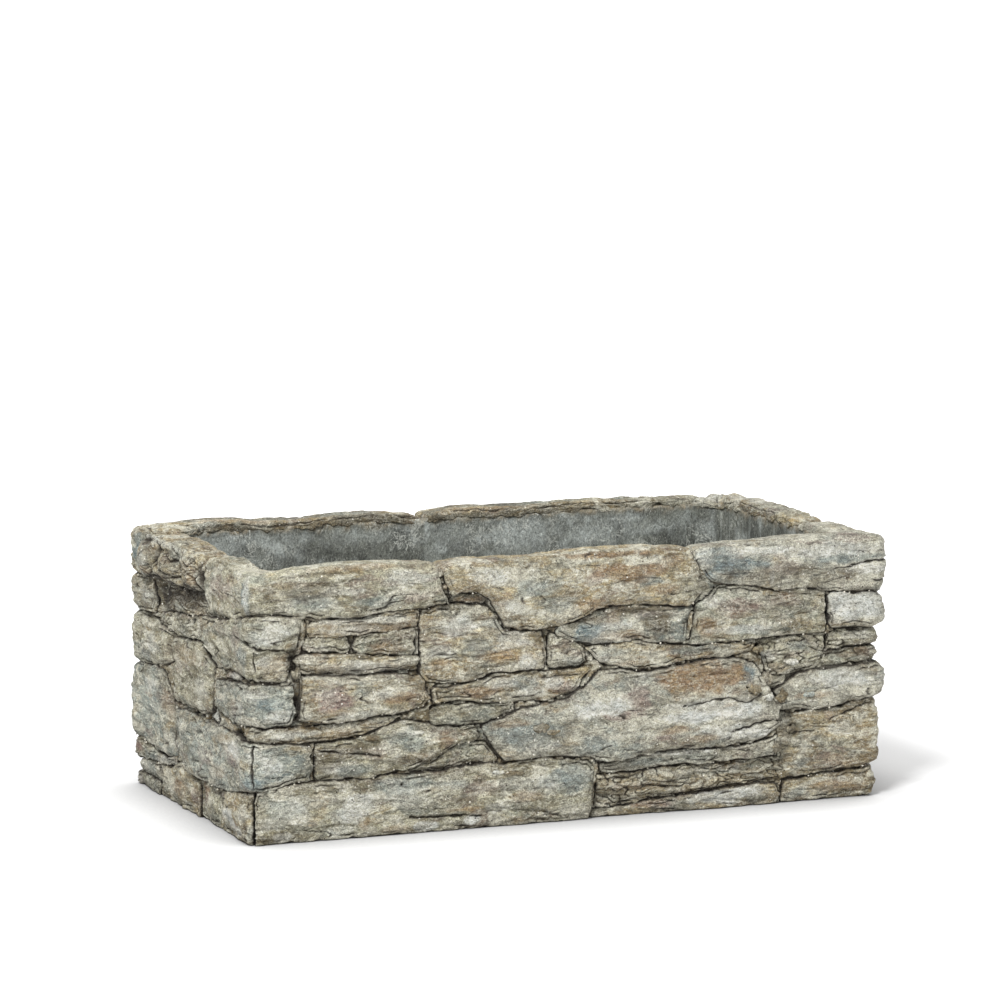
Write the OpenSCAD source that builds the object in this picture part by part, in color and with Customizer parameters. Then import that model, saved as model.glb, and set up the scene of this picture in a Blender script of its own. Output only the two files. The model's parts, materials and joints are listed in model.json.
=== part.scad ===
// Stacked stone planter: a cast cement trough, a mortar coat and rough ledge stones bedded on it.
// The frame is millimetres, +Z up, with the front along -Y and the origin under the middle of the base.

/* [Size] */
// Length over the stones, left to right
length = 424; // [380:1:470]
// Depth over the stones, front to back
depth = 226; // [200:1:260]
// Height to the top of the rim stones
height = 165; // [150:1:185]

/* [Wall] */
// Depth from the outer face to the backs of the stones
stone_depth = 9; // [8:0.5:10]
// Thickness of the mortar coat behind the stones
mortar = 4; // [3:0.5:6]
// Whole wall at the rim, stones, mortar and trough together
wall = 22; // [20:0.5:24]
// Thickness of the rim stones over the trough wall
rim_cap = 8; // [7:0.5:9]
// How far the rim stones stand into the opening
rim_overhang = 0.8; // [0.4:0.1:1.2]

/* [Trough] */
// Thickness of the trough's floor
floor_t = 12; // [10:1:16]
// Radius of the trough's inside corners
inner_corner_r = 14; // [12:1:16]
// Diameter of the drain hole in the middle of the floor
drain_d = 16; // [12:1:20]

/* [Stones] */
// Half the width of a joint between two stones
joint = 0.6; // [0.5:0.1:0.9]
// Depth of the rounded edge of a stone
arris = 3; // [2:0.5:4]
// Height of the humps on a stone's face
rough = 0.9; // [0.3:0.1:1.2]
// Radius of the planter's outside corners
corner_r = 12; // [11:0.5:14]

/* [Hidden] */
// The stone outlines below are drawn on a planter of this size, and stretched to the one asked for.
DRAWN_LENGTH = 420;
DRAWN_DEPTH = 222;
DRAWN_HEIGHT = 165;
ledge = height - rim_cap;
drawn_ledge = ledge * DRAWN_HEIGHT / height;
inner_face = wall + rim_overhang;

// Near a corner the stones' plan is eased back to the straight wall over this much of it.
corner_zone = 46;
hidden_corner_r = 2;
mortar_corner_r = 8;
trough_corner_r = 5;
// The mortar stops this far above the ground.
mortar_lift = 2;

// A stone has a column about every pitch along it, and one close to each end for its rounded corner.
column_pitch = 11;
end_column = 4;
min_stone = 1.6;
// Its face has six rows: the edges, one just inside each, and two between, which a thin stone has closer.
FACE_ROWS = 6;
inner_row = 3.5;
tall_stone = 26;
TALL_ROWS = [0.36, 0.66];
THIN_ROWS = [0.45, 0.6];
// How much of the arris is left at the inner rows and at the ends, and how far the ends' corners are cut.
inner_row_arris = 0.16;
end_arris = 0.8;
end_cut = 2.4;
inner_end_share = 0.15;
max_share = 0.28;
edge_margin = 0.4;
// The rim stones' top arris, outside and inside the wall.
rim_outer_arris = 1.5;
rim_inner_arris = [3, 2.2];

// The walls, in order round the planter. A wall's own u runs to the right as seen from outside, from its middle.
FRONT = 0;
RIGHT = 1;
BACK = 2;
LEFT = 3;

GREY = "#8f8d82";
BUFF = "#a39a83";
RUST = "#9c7f5e";
SLATE = "#7f878a";
PALE = "#b3afa1";
CEMENT = "#6b6f70";
MORTAR = "#57503f";

// A stone: its lower and upper edges as [u, z] points from left to right, how far its face is set back,
// how far its left and right ends bulge, and its colour. Past the end of a wall, u runs on round the corner.
function cut(name, side, lower, upper, set_back = 2, bulge = [0, 0], tint = GREY) =
    [name, side, lower, upper, set_back, bulge, tint];

STONES = [
    // Rim stones, from the front left corner round to the left
    cut("coping_front_left_corner", FRONT,
        [[-294, 128.5], [-271, 130.5], [-241, 134.5], [-221, 138.5], [-210, 140.5], [-196, 140.5], [-180, 139],
         [-170, 138], [-158, 136], [-148, 135], [-138, 135], [-125, 137.5], [-110, 139], [-95, 139], [-80, 141.5]],
        [[-294, 163], [-270, 164.5], [-240, 162], [-215, 161], [-190, 162.5], [-150, 165], [-110, 164], [-87, 163]],
        0.6, [2, -1], GREY),
    cut("coping_front_middle", FRONT,
        [[-79, 142.5], [-77, 146.5], [-62, 147], [-54, 143], [-48, 135], [-43, 122.5], [-30, 121.5], [-18, 121],
         [-8, 122], [5, 125.5], [14, 130.5], [30, 133.5], [55, 132.5], [75, 129.5], [84, 130.5]],
        [[-86, 163], [-60, 163.5], [-20, 163], [15, 165], [55, 165], [80, 164]],
        0, [0, 6], RUST),
    cut("coping_front_right_corner", FRONT,
        [[94, 144.5], [100, 142.5], [112, 141], [122, 140], [130, 138.5], [137, 136], [143, 135], [150, 136.5],
         [158, 137], [165, 136], [172, 134.5], [178, 133.5], [190, 132], [210, 131.5], [235, 134], [265, 139],
         [288, 141]],
        [[81, 163], [110, 163.5], [140, 165], [165, 165], [190, 164], [210, 162], [240, 161.5], [270, 163],
         [288, 162]],
        0, [-1, 2], PALE),
    cut("coping_back_right_corner", BACK,
        [[-352, 141], [-326, 138], [-301, 136], [-271, 138], [-246, 141.5], [-225, 138], [-210, 137],
         [-195, 138.5], [-186, 139.5]],
        [[-353, 161.5], [-321, 164], [-290, 165], [-265, 165], [-244, 162.5], [-225, 164], [-210, 163], [-188, 164]],
        0.5, [0, 1], BUFF),
    cut("coping_back_middle", BACK,
        [[-184, 139.5], [-150, 142], [-120, 139], [-90, 135], [-60, 136], [-30, 139], [0, 138], [24, 136]],
        [[-186, 164], [-150, 162.5], [-100, 165], [-50, 163.5], [0, 164.5], [25, 162.5]],
        0, [1, 2], BUFF),
    cut("coping_back_left_corner", BACK,
        [[26, 136], [60, 139], [95, 141], [130, 139], [165, 136], [190, 136.5], [210, 137.5], [233, 138]],
        [[27, 162], [70, 164], [120, 163], [170, 165], [210, 163], [233, 163.5]],
        0.8, [0, 1], RUST),
    cut("coping_left", LEFT,
        [[-88, 138.5], [-65, 139.5], [-50, 139], [-30, 140], [0, 140.5], [20, 142], [26, 145]],
        [[-87, 162], [-60, 164], [-30, 165], [0, 163], [27, 162]],
        0, [1, 0], BUFF),

    // Front wall
    cut("front_upper_left_block", FRONT,
        [[-98, 98], [-92, 91.5], [-80, 90.5], [-63, 91.5], [-57, 96.5], [-48, 96.5], [-35, 96], [-16, 96.5]],
        [[-98, 138], [-88, 138.5], [-80, 140.5], [-65, 139.5], [-54, 137.5], [-49, 131], [-44, 121], [-30, 120.5],
         [-17, 119.5]],
        2, [0, 1], RUST),
    cut("front_upper_slab", FRONT,
        [[-10, 116.5], [0, 113], [9, 109.5], [30, 109.5], [50, 110], [57, 107.5], [79, 106.5]],
        [[-10, 121], [5, 124.5], [14, 129], [30, 132.5], [55, 131.5], [75, 128.5], [82, 128.5]],
        2.5, [0, -1], SLATE),
    cut("front_upper_right_block", FRONT,
        [[80, 106], [84, 104.5], [95, 105.5], [110, 105.5], [130, 106.5], [150, 107], [173, 107.5]],
        [[84, 129.5], [90, 133], [97, 141], [112, 140.5], [122, 139.5], [130, 138], [137, 135.5], [143, 134.5],
         [150, 136], [158, 136.5], [165, 135.5], [173, 133.5]],
        1.8, [0, 0], GREY),
    cut("front_long_thin_stone", FRONT,
        [[16, 101], [22, 96], [30, 95], [40, 93], [52, 91.5], [60, 92.5], [70, 94], [82, 95.5], [100, 96],
         [115, 96.5], [124, 100.5]],
        [[11, 108], [30, 109], [50, 109], [57, 106.5], [77, 105.5], [84, 103.5], [95, 104.5], [110, 104.5],
         [126, 105]],
        2.2, [0, 0], BUFF),
    cut("front_left_strips", FRONT,
        [[-170, 124.5], [-150, 123.5], [-140, 123.5], [-125, 125.5], [-110, 125.5], [-100, 127]],
        [[-171, 137.5], [-158, 135.5], [-148, 134.5], [-138, 134.5], [-125, 137], [-110, 138.5], [-100, 138.5]],
        3, [0, 0], BUFF),
    cut("front_left_strips", FRONT,
        [[-177, 104], [-160, 101.5], [-150, 100.5], [-135, 100], [-120, 101], [-100, 101]],
        [[-179, 111.5], [-170, 115.5], [-160, 115], [-150, 113], [-140, 112.5], [-125, 111], [-110, 110],
         [-100, 109.5]],
        3, [0, 0], PALE),
    cut("front_middle_left_block", FRONT,
        [[-176, 74], [-165, 72], [-150, 71.5], [-140, 72.5], [-125, 74.5], [-105, 75.5], [-93, 78]],
        [[-175, 102], [-160, 101], [-150, 100], [-135, 99.5], [-120, 99.5], [-105, 98.5], [-96, 97]],
        1.5, [0, 2], RUST),
    cut("front_middle_block", FRONT,
        [[-90, 79], [-75, 80.5], [-60, 78.5], [-45, 77.5], [-30, 76.5], [-15, 76], [-5, 78], [4, 81]],
        [[-90, 89.5], [-80, 89], [-63, 90.5], [-57, 95], [-48, 95], [-35, 94.5], [-17, 95], [0, 94.5], [15, 95]],
        2.4, [0, 0], RUST),
    cut("front_great_stone", FRONT,
        [[-44, 41], [-30, 40.5], [-18, 41.5], [-8, 41.5], [5, 40], [14, 38.5], [20, 35.5], [30, 35], [45, 37],
         [60, 39.5], [75, 40], [90, 38.5], [104, 40], [120, 40], [130, 42], [142, 51]],
        [[-58, 63], [-50, 66], [-40, 69], [-30, 73], [-15, 74.5], [-5, 75.5], [4, 79], [9, 83], [15, 89],
         [21, 94], [30, 93], [40, 91], [52, 89.5], [62, 91], [80, 94], [100, 94.5], [115, 95], [124, 91],
         [130, 82]],
        0, [2, 3], PALE),
    cut("front_right_crumbled_stone", FRONT,
        [[132, 84], [140, 80], [150, 83], [160, 83.5], [171, 84.5]],
        [[127, 105], [140, 106], [155, 106.5], [171, 107]],
        3.4, [0, 0], GREY),
    cut("front_lower_left_block", FRONT,
        [[-166, 37.5], [-150, 36.5], [-130, 36], [-118, 38.5], [-100, 41], [-88, 46], [-78, 52], [-60, 55]],
        [[-166, 58.5], [-155, 60], [-140, 61.5], [-128, 64.5], [-113, 69.5], [-103, 71], [-95, 67], [-88, 65],
         [-61, 63.5]],
        2, [0, 1], GREY),
    cut("front_lower_right_thin_stone", FRONT,
        [[21, 28], [40, 27.5], [55, 28.5], [70, 30.5], [90, 29], [110, 29.5], [130, 30.5], [140, 31.5]],
        [[20, 34], [30, 34], [45, 36], [60, 38.5], [75, 39], [90, 37.5], [104, 39], [120, 39], [130, 40.5],
         [141, 44]],
        2.6, [0, 0], PALE),
    cut("front_layered_stone", FRONT,
        [[16, 6], [30, 6], [45, 7.5], [60, 9.5], [80, 11.5], [100, 12.5], [120, 14.5], [143, 14]],
        [[18, 26.5], [40, 26.5], [55, 27.5], [70, 29.5], [90, 28], [110, 28.5], [130, 29.5], [143, 30.5]],
        4, [0, 0], BUFF),
    cut("base_front_left_stone", FRONT,
        [[-207, 0], [-100, 0], [13, 0]],
        [[-207, 33], [-190, 34], [-175, 37], [-165, 36.5], [-130, 35.5], [-118, 37.5], [-105, 36.5], [-85, 37],
         [-72, 39], [-60, 39.5], [-40, 39.5], [-18, 40.5], [0, 38.5], [10, 37], [16, 34]],
        0.6, [0, 1], GREY),
    cut("base_front_right_stone", FRONT,
        [[15, 0], [80, 0], [142, 0]],
        [[15, 5.5], [30, 5.5], [45, 6.5], [60, 8.5], [80, 10.5], [100, 11.5], [120, 13.5], [142, 13]],
        2, [0, 1], RUST),
    cut("front_small_stones", FRONT,
        [[-172, 117.5], [-160, 116.5], [-150, 114.5], [-142, 114]],
        [[-171, 124], [-155, 123.5], [-142, 123.5]],
        4, [0, 0], GREY),
    cut("front_small_stones", FRONT,
        [[-140, 114], [-125, 112.5], [-110, 111], [-101, 110.5]],
        [[-140, 123], [-125, 125], [-110, 125], [-101, 126.5]],
        3, [0, 0], BUFF),
    cut("front_small_stones", FRONT,
        [[-79, 141.5], [-65, 140.5], [-55, 139.5]],
        [[-77, 145.5], [-65, 146], [-56, 143.5]],
        4.5, [0, 0], BUFF),
    cut("front_small_stones", FRONT,
        [[-14, 97], [-5, 96.5], [5, 96.5], [13, 98]],
        [[-14, 118.5], [-10, 116.5], [0, 112.5], [8, 108.5], [10, 107]],
        3.4, [0, 0], GREY),
    cut("front_small_stones", FRONT,
        [[-91, 66.5], [-80, 65.5], [-62, 65], [-50, 67.5], [-36, 72]],
        [[-91, 76], [-80, 78], [-60, 77], [-45, 76.5], [-36, 76.5]],
        3, [0, 0], RUST),
    cut("front_small_stones", FRONT,
        [[-104, 38], [-85, 38], [-72, 40], [-60, 40.5], [-47, 41]],
        [[-100, 41], [-88, 45.5], [-78, 51.5], [-62, 54], [-54, 52]],
        4, [0, 0], BUFF),
    cut("front_small_stones", FRONT,
        [[132, 73], [140, 73.5], [147, 77]],
        [[131, 83], [140, 79.5], [148, 81]],
        4.5, [0, 0], GREY),

    // Front left corner, from the top down, each bent round from the left wall
    cut("quoin_front_left_upper", FRONT,
        [[-300, 111.5], [-287, 105], [-275, 99], [-261, 101], [-246, 102], [-233, 100.5], [-221, 100], [-210, 100],
         [-200, 99.5], [-190, 98], [-182, 99]],
        [[-299, 127.5], [-271, 130], [-241, 134], [-221, 138], [-210, 140], [-196, 140], [-180, 138.5],
         [-173, 138]],
        1.4, [0, 1], GREY),
    cut("quoin_front_left_middle", FRONT,
        [[-274, 76], [-262, 71.5], [-241, 70.5], [-221, 72], [-210, 73.5], [-200, 71.5], [-190, 71.5],
         [-180, 72.5]],
        [[-270, 93], [-261, 94], [-246, 95], [-231, 96.5], [-210, 98.5], [-200, 97.5], [-190, 96.5], [-180, 96.5]],
        1, [0, 0], SLATE),
    cut("quoin_front_left_strip", FRONT,
        [[-237, 65.5], [-221, 64], [-210, 63], [-200, 61.5], [-190, 61], [-170, 60.5], [-155, 61.5],
         [-140, 63], [-128, 66], [-117, 69]],
        [[-237, 69], [-221, 71], [-210, 72.5], [-200, 70.5], [-190, 70.5], [-170, 70.5], [-150, 70.5],
         [-135, 72], [-120, 74], [-109, 74]],
        3, [0, 0], BUFF),
    cut("quoin_front_left_lower", FRONT,
        [[-348, 38], [-336, 30.5], [-321, 25.5], [-301, 24.5], [-281, 25.5], [-261, 26.5], [-241, 28.5],
         [-221, 31.5], [-210, 33], [-200, 33.5], [-190, 34.5], [-175, 37.5], [-168, 37.5]],
        [[-347, 62], [-321, 64], [-293, 64.5], [-261, 65], [-237, 65], [-221, 63.5], [-210, 62.5], [-200, 61],
         [-190, 60.5], [-168, 60]],
        0.4, [0, -1], SLATE),
    cut("base_front_left_corner", FRONT,
        [[-264, 0], [-240, 0], [-208.5, 0]],
        [[-264, 25], [-246, 27.5], [-221, 31], [-208.5, 33]],
        1.2, [0, 0], BUFF),

    // Front right corner, from the top down, each bent round on to the right wall
    cut("quoin_front_right_upper", FRONT,
        [[175, 110], [190, 110], [210, 109.5], [235, 110], [258, 112]],
        [[175, 132.5], [190, 131.5], [210, 131], [235, 133.5], [258, 137.5]],
        1, [0, 1], PALE),
    cut("quoin_front_right_thin_pair", FRONT,
        [[173, 95.5], [185, 97], [195, 98], [210, 98], [240, 99], [256, 106]],
        [[174, 107], [190, 108.5], [210, 109], [240, 110], [259, 111]],
        3.2, [0, 0], GREY),
    cut("quoin_front_right_thin_pair", FRONT,
        [[173, 84.5], [185, 85.5], [195, 86], [210, 87], [242, 88]],
        [[173, 94], [190, 96], [210, 97], [241, 98]],
        4, [0, 0], BUFF),
    cut("quoin_front_right_middle", FRONT,
        [[143, 59.5], [155, 59.5], [170, 59], [185, 61], [200, 63.5], [210, 65], [238, 67]],
        [[138, 72], [145, 76.5], [153, 82], [170, 83.5], [195, 85], [210, 86], [238, 87.5]],
        0.8, [0, 1], PALE),
    cut("quoin_front_right_lower", FRONT,
        [[146, 15], [160, 16.5], [180, 18], [198, 20], [210, 21], [250, 23]],
        [[146, 57.5], [170, 58], [185, 59.5], [200, 62.5], [210, 64], [250, 66.5]],
        3, [0, 1], BUFF),
    cut("base_front_right_corner", FRONT,
        [[144, 0], [180, 0], [210, 0], [258, 0]],
        [[144, 13.5], [160, 15], [180, 16.5], [198, 18.5], [210, 20], [258, 22]],
        3, [0, 1], BUFF),

    // Left wall
    cut("left_thin_stones", LEFT,
        [[-52, 120.5], [-28, 122.5], [0, 125], [26, 128.5]],
        [[-52, 137], [-30, 139], [0, 139.5], [20, 141], [26, 143.5]],
        4.5, [0, 0], GREY),
    cut("left_thin_stones", LEFT,
        [[-62, 110.5], [-40, 108], [-28, 108], [-10, 109], [10, 111], [19, 112.5]],
        [[-64, 116.5], [-52, 119.5], [-28, 122], [0, 124.5], [20, 127.5]],
        3, [0, 0], BUFF),
    cut("left_middle_stone", LEFT,
        [[-36, 67], [-25, 66], [0, 66], [25, 66.5], [38, 71]],
        [[-31, 106.5], [-10, 108.5], [8, 110.5], [19, 111], [33, 105], [44, 98.5]],
        0.5, [-7, 2], GREY),
    cut("left_base_stone", LEFT,
        [[-60, 0], [-20, 0], [15, 0]],
        [[-58, 20], [-48, 21], [-35, 24], [-22, 30], [-8, 26], [5, 24], [15, 23]],
        2.4, [0, 0], RUST),
    cut("left_small_stones", LEFT,
        [[17, 0], [35, 0], [55, 0]],
        [[17, 23.5], [35, 24.5], [55, 25.5]],
        3, [0, 0], GREY),
    cut("left_small_stones", LEFT,
        [[28, 66.5], [38, 66], [52, 67]],
        [[34, 70], [42, 73], [46, 74.5]],
        4, [0, 0], GREY),
    cut("left_small_stones", LEFT,
        [[58, 95], [74, 96.5], [88, 97.5]],
        [[62, 99.5], [74, 101], [86, 100]],
        4, [0, 0], SLATE),

    // Back left corner, from the top down, on the back wall's u and bent round on to the left wall
    cut("quoin_back_left_upper", BACK,
        [[86, 105.5], [110, 108.5], [140, 111], [166, 112], [190, 111.5], [210, 113], [240, 115], [255, 117.5]],
        [[90, 140.5], [105, 140.5], [130, 138.5], [166, 135.5], [190, 136], [210, 137], [235, 137.5], [252, 136]],
        1, [0, 1], BUFF),
    cut("quoin_back_left_middle", BACK,
        [[188, 77], [200, 78], [210, 79], [226, 80.5], [243, 81.5], [261, 84], [276, 87.5], [288, 91]],
        [[188, 111], [210, 112], [236, 114], [256, 110.5], [281, 107.5], [289, 106.5]],
        1.6, [0, 0], GREY),
    cut("quoin_back_left_lower", BACK,
        [[152, 33], [180, 31], [210, 32], [223, 32.5], [236, 32.5], [243, 30], [256, 27.5], [271, 27],
         [286, 29.5], [291, 32]],
        [[152, 72], [180, 75], [210, 78.5], [226, 80], [243, 81], [261, 83.5], [272, 82], [286, 68]],
        0, [0, 1], SLATE),
    cut("base_back_left_corner", BACK,
        [[170, 17], [210, 17], [226, 18.5], [243, 20.5], [261, 21], [273, 21.5], [290, 26]],
        [[170, 31], [210, 31.5], [223, 32], [236, 32], [243, 29], [256, 27], [271, 26.5], [289, 30]],
        2.5, [0, 0], GREY),
    cut("base_back_left_corner", BACK,
        [[168, 8.5], [210, 8.5], [235, 9], [260, 9.5]],
        [[168, 16.5], [210, 16.5], [226, 18], [243, 20], [260, 20.5]],
        4, [0, 0], GREY),
    cut("base_back_left_corner", BACK,
        [[160, 0], [210, 0], [259, 0]],
        [[160, 8.5], [210, 8], [240, 8.5], [259, 9]],
        3, [0, 1], RUST),

    // Right wall
    cut("right_upper_block", RIGHT,
        [[-61, 112.5], [-40, 110], [-10, 106], [15, 105], [33, 107]],
        [[-61, 138], [-50, 139.5], [-30, 140.5], [-5, 137.5], [20, 135.5], [36, 136.5]],
        1.5, [0, 2], GREY),
    cut("right_middle_block", RIGHT,
        [[-80, 68], [-60, 66.5], [-30, 66.5], [0, 68], [30, 71], [49, 73]],
        [[-78, 98.5], [-60, 110.5], [-40, 109.5], [-10, 105.5], [15, 104.5], [33, 106.5], [46, 106.5]],
        2, [0, 1], SLATE),
    cut("right_lower_block", RIGHT,
        [[-69, 24], [-40, 27], [-10, 30], [20, 28], [42, 26]],
        [[-69, 66], [-55, 66.5], [-30, 65.5], [0, 67], [30, 70], [44, 72]],
        0, [0, 2], BUFF),
    cut("base_right_stone", RIGHT,
        [[-61, 0], [0, 0], [62, 0]],
        [[-61, 23.5], [-40, 26], [-10, 29], [20, 27.5], [42, 25.5], [62, 23]],
        1.6, [0, 0], GREY),

    // Back right corner, from the top down, on the back wall's u and bent round from the right wall
    cut("quoin_back_right_upper", BACK,
        [[-283, 107.5], [-260, 109], [-235, 111], [-210, 110], [-180, 107], [-152, 105]],
        [[-283, 137], [-260, 140], [-246, 141], [-225, 137.5], [-210, 136.5], [-186, 139], [-150, 141.5]],
        1, [0, 0], PALE),
    cut("quoin_back_right_middle", BACK,
        [[-270, 74], [-245, 76], [-210, 73], [-190, 71], [-172, 73]],
        [[-272, 106.5], [-260, 108.5], [-235, 110.5], [-210, 109.5], [-180, 106.5], [-170, 105.5]],
        2.2, [0, 1], BUFF),
    cut("quoin_back_right_lower", BACK,
        [[-276, 26], [-255, 24], [-230, 27], [-210, 29], [-180, 31], [-142, 30]],
        [[-275, 72.5], [-245, 75.5], [-210, 72.5], [-190, 70.5], [-172, 72], [-142, 66]],
        0.6, [0, 0], GREY),
    cut("base_back_right_corner", BACK,
        [[-256, 0], [-210, 0], [-160, 0]],
        [[-256, 23.5], [-230, 26.5], [-210, 28.5], [-180, 30.5], [-160, 30]],
        1.8, [0, 2], SLATE),

    // Back wall
    cut("back_upper_left_block", BACK,
        [[-149, 105.5], [-120, 107], [-90, 104], [-60, 102], [-34, 104]],
        [[-148, 141.5], [-120, 138.5], [-90, 134.5], [-60, 135.5], [-36, 138.5]],
        1.4, [0, 0], SLATE),
    cut("back_upper_middle_block", BACK,
        [[-33, 104], [0, 107], [30, 109], [60, 106], [84, 105]],
        [[-34, 138.5], [0, 137.5], [24, 135.5], [60, 138.5], [88, 140.5]],
        2.2, [0, 0], BUFF),
    cut("back_middle_left_stone", BACK,
        [[-169, 73.5], [-142, 67], [-110, 70], [-80, 74], [-46, 77]],
        [[-168, 105.5], [-150, 104.5], [-120, 106.5], [-90, 103.5], [-60, 101.5], [-48, 102.5]],
        0.4, [1, 1], RUST),
    cut("back_middle_stone", BACK,
        [[-44, 77], [-10, 74], [30, 71], [70, 74], [92, 73]],
        [[-46, 102.5], [-33, 103.5], [0, 106.5], [30, 108.5], [60, 105.5], [90, 105]],
        0, [0, 2], GREY),
    cut("back_middle_right_stone", BACK,
        [[96, 73], [120, 71], [152, 73], [180, 76], [186, 77]],
        [[94, 105], [110, 107.5], [140, 110.5], [164, 111.5], [186, 110.5]],
        2.2, [0, 0], BUFF),
    cut("back_lower_left_stone", BACK,
        [[-140, 30], [-100, 34], [-60, 36], [-20, 33], [14, 30]],
        [[-140, 66], [-110, 69.5], [-80, 73.5], [-45, 76.5], [-10, 73.5], [12, 72]],
        1, [0, 3], BUFF),
    cut("back_lower_right_stone", BACK,
        [[18, 30], [50, 33], [90, 36], [120, 34], [150, 33]],
        [[15, 71.5], [30, 70.5], [70, 73.5], [94, 72.5], [120, 70.5], [150, 72]],
        1.8, [-2, 0], SLATE),
    cut("base_back_left_stone", BACK,
        [[-156, 0], [-80, 0], [-4, 0]],
        [[-158, 30], [-140, 29.5], [-100, 33.5], [-60, 35.5], [-20, 32.5], [-4, 31]],
        0.6, [-1, 1], GREY),
    cut("base_back_middle_stone", BACK,
        [[-1, 0], [70, 0], [150, 0]],
        [[-2, 31], [14, 29.5], [50, 32.5], [90, 35.5], [120, 33.5], [150, 32.5]],
        1.5, [-1, 0], RUST),
];

STONE_NODES = [for (i = [0:len(STONES) - 1]) if (i == 0 || STONES[i][0] != STONES[i - 1][0]) STONES[i][0]];

function mix(a, b, t) = a + (b - a) * t;
function last(list) = list[len(list) - 1];
function is_rim(stone) = max([for (p = stone[3]) p[1]]) >= DRAWN_HEIGHT - 1;

// Radius of the plan's corner at a depth from the outer face. It falls to a small one behind the stones,
// then grows to the trough's inside radius at the inner face.
function plan_corner_r(d) =
    d <= corner_r
        ? max(corner_r - d, hidden_corner_r)
        : mix(hidden_corner_r, inner_corner_r, (d - corner_r) / (wall - corner_r));

// Distance along the wall and inward from the sharp corner, for a point t along from that corner at depth d.
// Close to the corner the path is an arc to the mitre, and further on it is eased back to the straight wall.
function corner_point(t, d) =
    let (r = plan_corner_r(d), tangent = d + r)
    t >= corner_zone ? [t, d]
    : t >= corner_r
        ? [mix(tangent, corner_zone, (t - corner_r) / (corner_zone - corner_r)), d]
        : let (angle = 45 * (1 - t / corner_r)) [tangent - r * sin(angle), tangent - r * cos(angle)];

// Half of a wall's length on the planter as it is built, and as the outlines are drawn.
function half_wall(side) = (side % 2 == 0 ? length : depth) / 2;
function half_drawn(side) = (side % 2 == 0 ? DRAWN_LENGTH : DRAWN_DEPTH) / 2;

// Plan position of place s along a wall, measured from the wall's middle, at a depth from the outer face.
function plan_point(side, s, d) =
    let (half = half_wall(side), out = half_wall(side + 1))
    s > half ? plan_point((side + 1) % 4, s - half - out, d)
    : s < -half ? plan_point((side + 3) % 4, s + half + out, d)
    : let (p = corner_point(half - abs(s), d), along = (s < 0 ? -1 : 1) * (half - p[0]), across = p[1] - out)
      side == FRONT ? [along, across]
      : side == RIGHT ? [-across, along]
      : side == BACK ? [-along, -across]
      : [across, -along];

// A drawn u stretched to the planter's real length and depth, so that the corners stay the corners.
function stretch(side, u) =
    let (
        drawn = half_drawn(side),
        beyond = max(abs(u) - drawn, 0) * half_wall(side + 1) / half_drawn(side + 1)
    )
    (u < 0 ? -1 : 1) * (min(abs(u), drawn) * half_wall(side) / drawn + beyond);

// Position in space of a drawn place [u, z] on a wall, at a depth from the outer face.
function to_space(side, place, d) =
    let (p = plan_point(side, stretch(side, place[0]), d)) [p[0], p[1], place[1] * height / DRAWN_HEIGHT];

// Point of an edge line at fraction t of its run, drawn in from both ends by the joint.
function edge_point(line, t) =
    let (u = mix(line[0][0] + joint, last(line)[0] - joint, t)) [u, lookup(u, line)];

// Lower and upper end of the stone's column at fraction t, clear of the joints above and below.
function column(stone, t) =
    let (
        low = edge_point(stone[2], t),
        high = edge_point(stone[3], t),
        on_ground = low[1] <= 0,
        z_low = on_ground ? 0 : low[1] + joint,
        z_high = is_rim(stone) ? high[1] : high[1] - joint,
        spare = max(min_stone - (z_high - z_low), 0) / 2
    )
    [[low[0], on_ground ? 0 : z_low - spare], [high[0], z_high + spare]];

// Place on the stone at column t and height share v, with the stone's ends bulged out.
function face_place(stone, t, v) =
    let (
        c = column(stone, t),
        hump = 4 * v * (1 - v),
        bulge = t < 0.5 ? -stone[5][0] * (1 - 2 * t) : stone[5][1] * (2 * t - 1)
    )
    [mix(c[0][0], c[1][0], v) + hump * bulge, mix(c[0][1], c[1][1], v)];

// Fractions of the run for the columns, with one on the planter's corner where the stone goes round it.
function spread(from, to, run) =
    let (n = max(1, ceil((to - from) * run / column_pitch))) [for (i = [1:n]) mix(from, to, i / n)];
function columns(stone) =
    let (
        start = stone[2][0][0],
        run = last(stone[2])[0] - start,
        e = min(0.25, end_column / run),
        half = half_drawn(stone[1]),
        corner = start < -half ? (-half - start) / run : (half - start) / run
    )
    corner > 0 && corner < 1
        ? concat([0, e], spread(e, corner, run), spread(corner, 1 - e, run), [1])
        : concat([0, e], spread(e, 1 - e, run), [1]);

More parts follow.
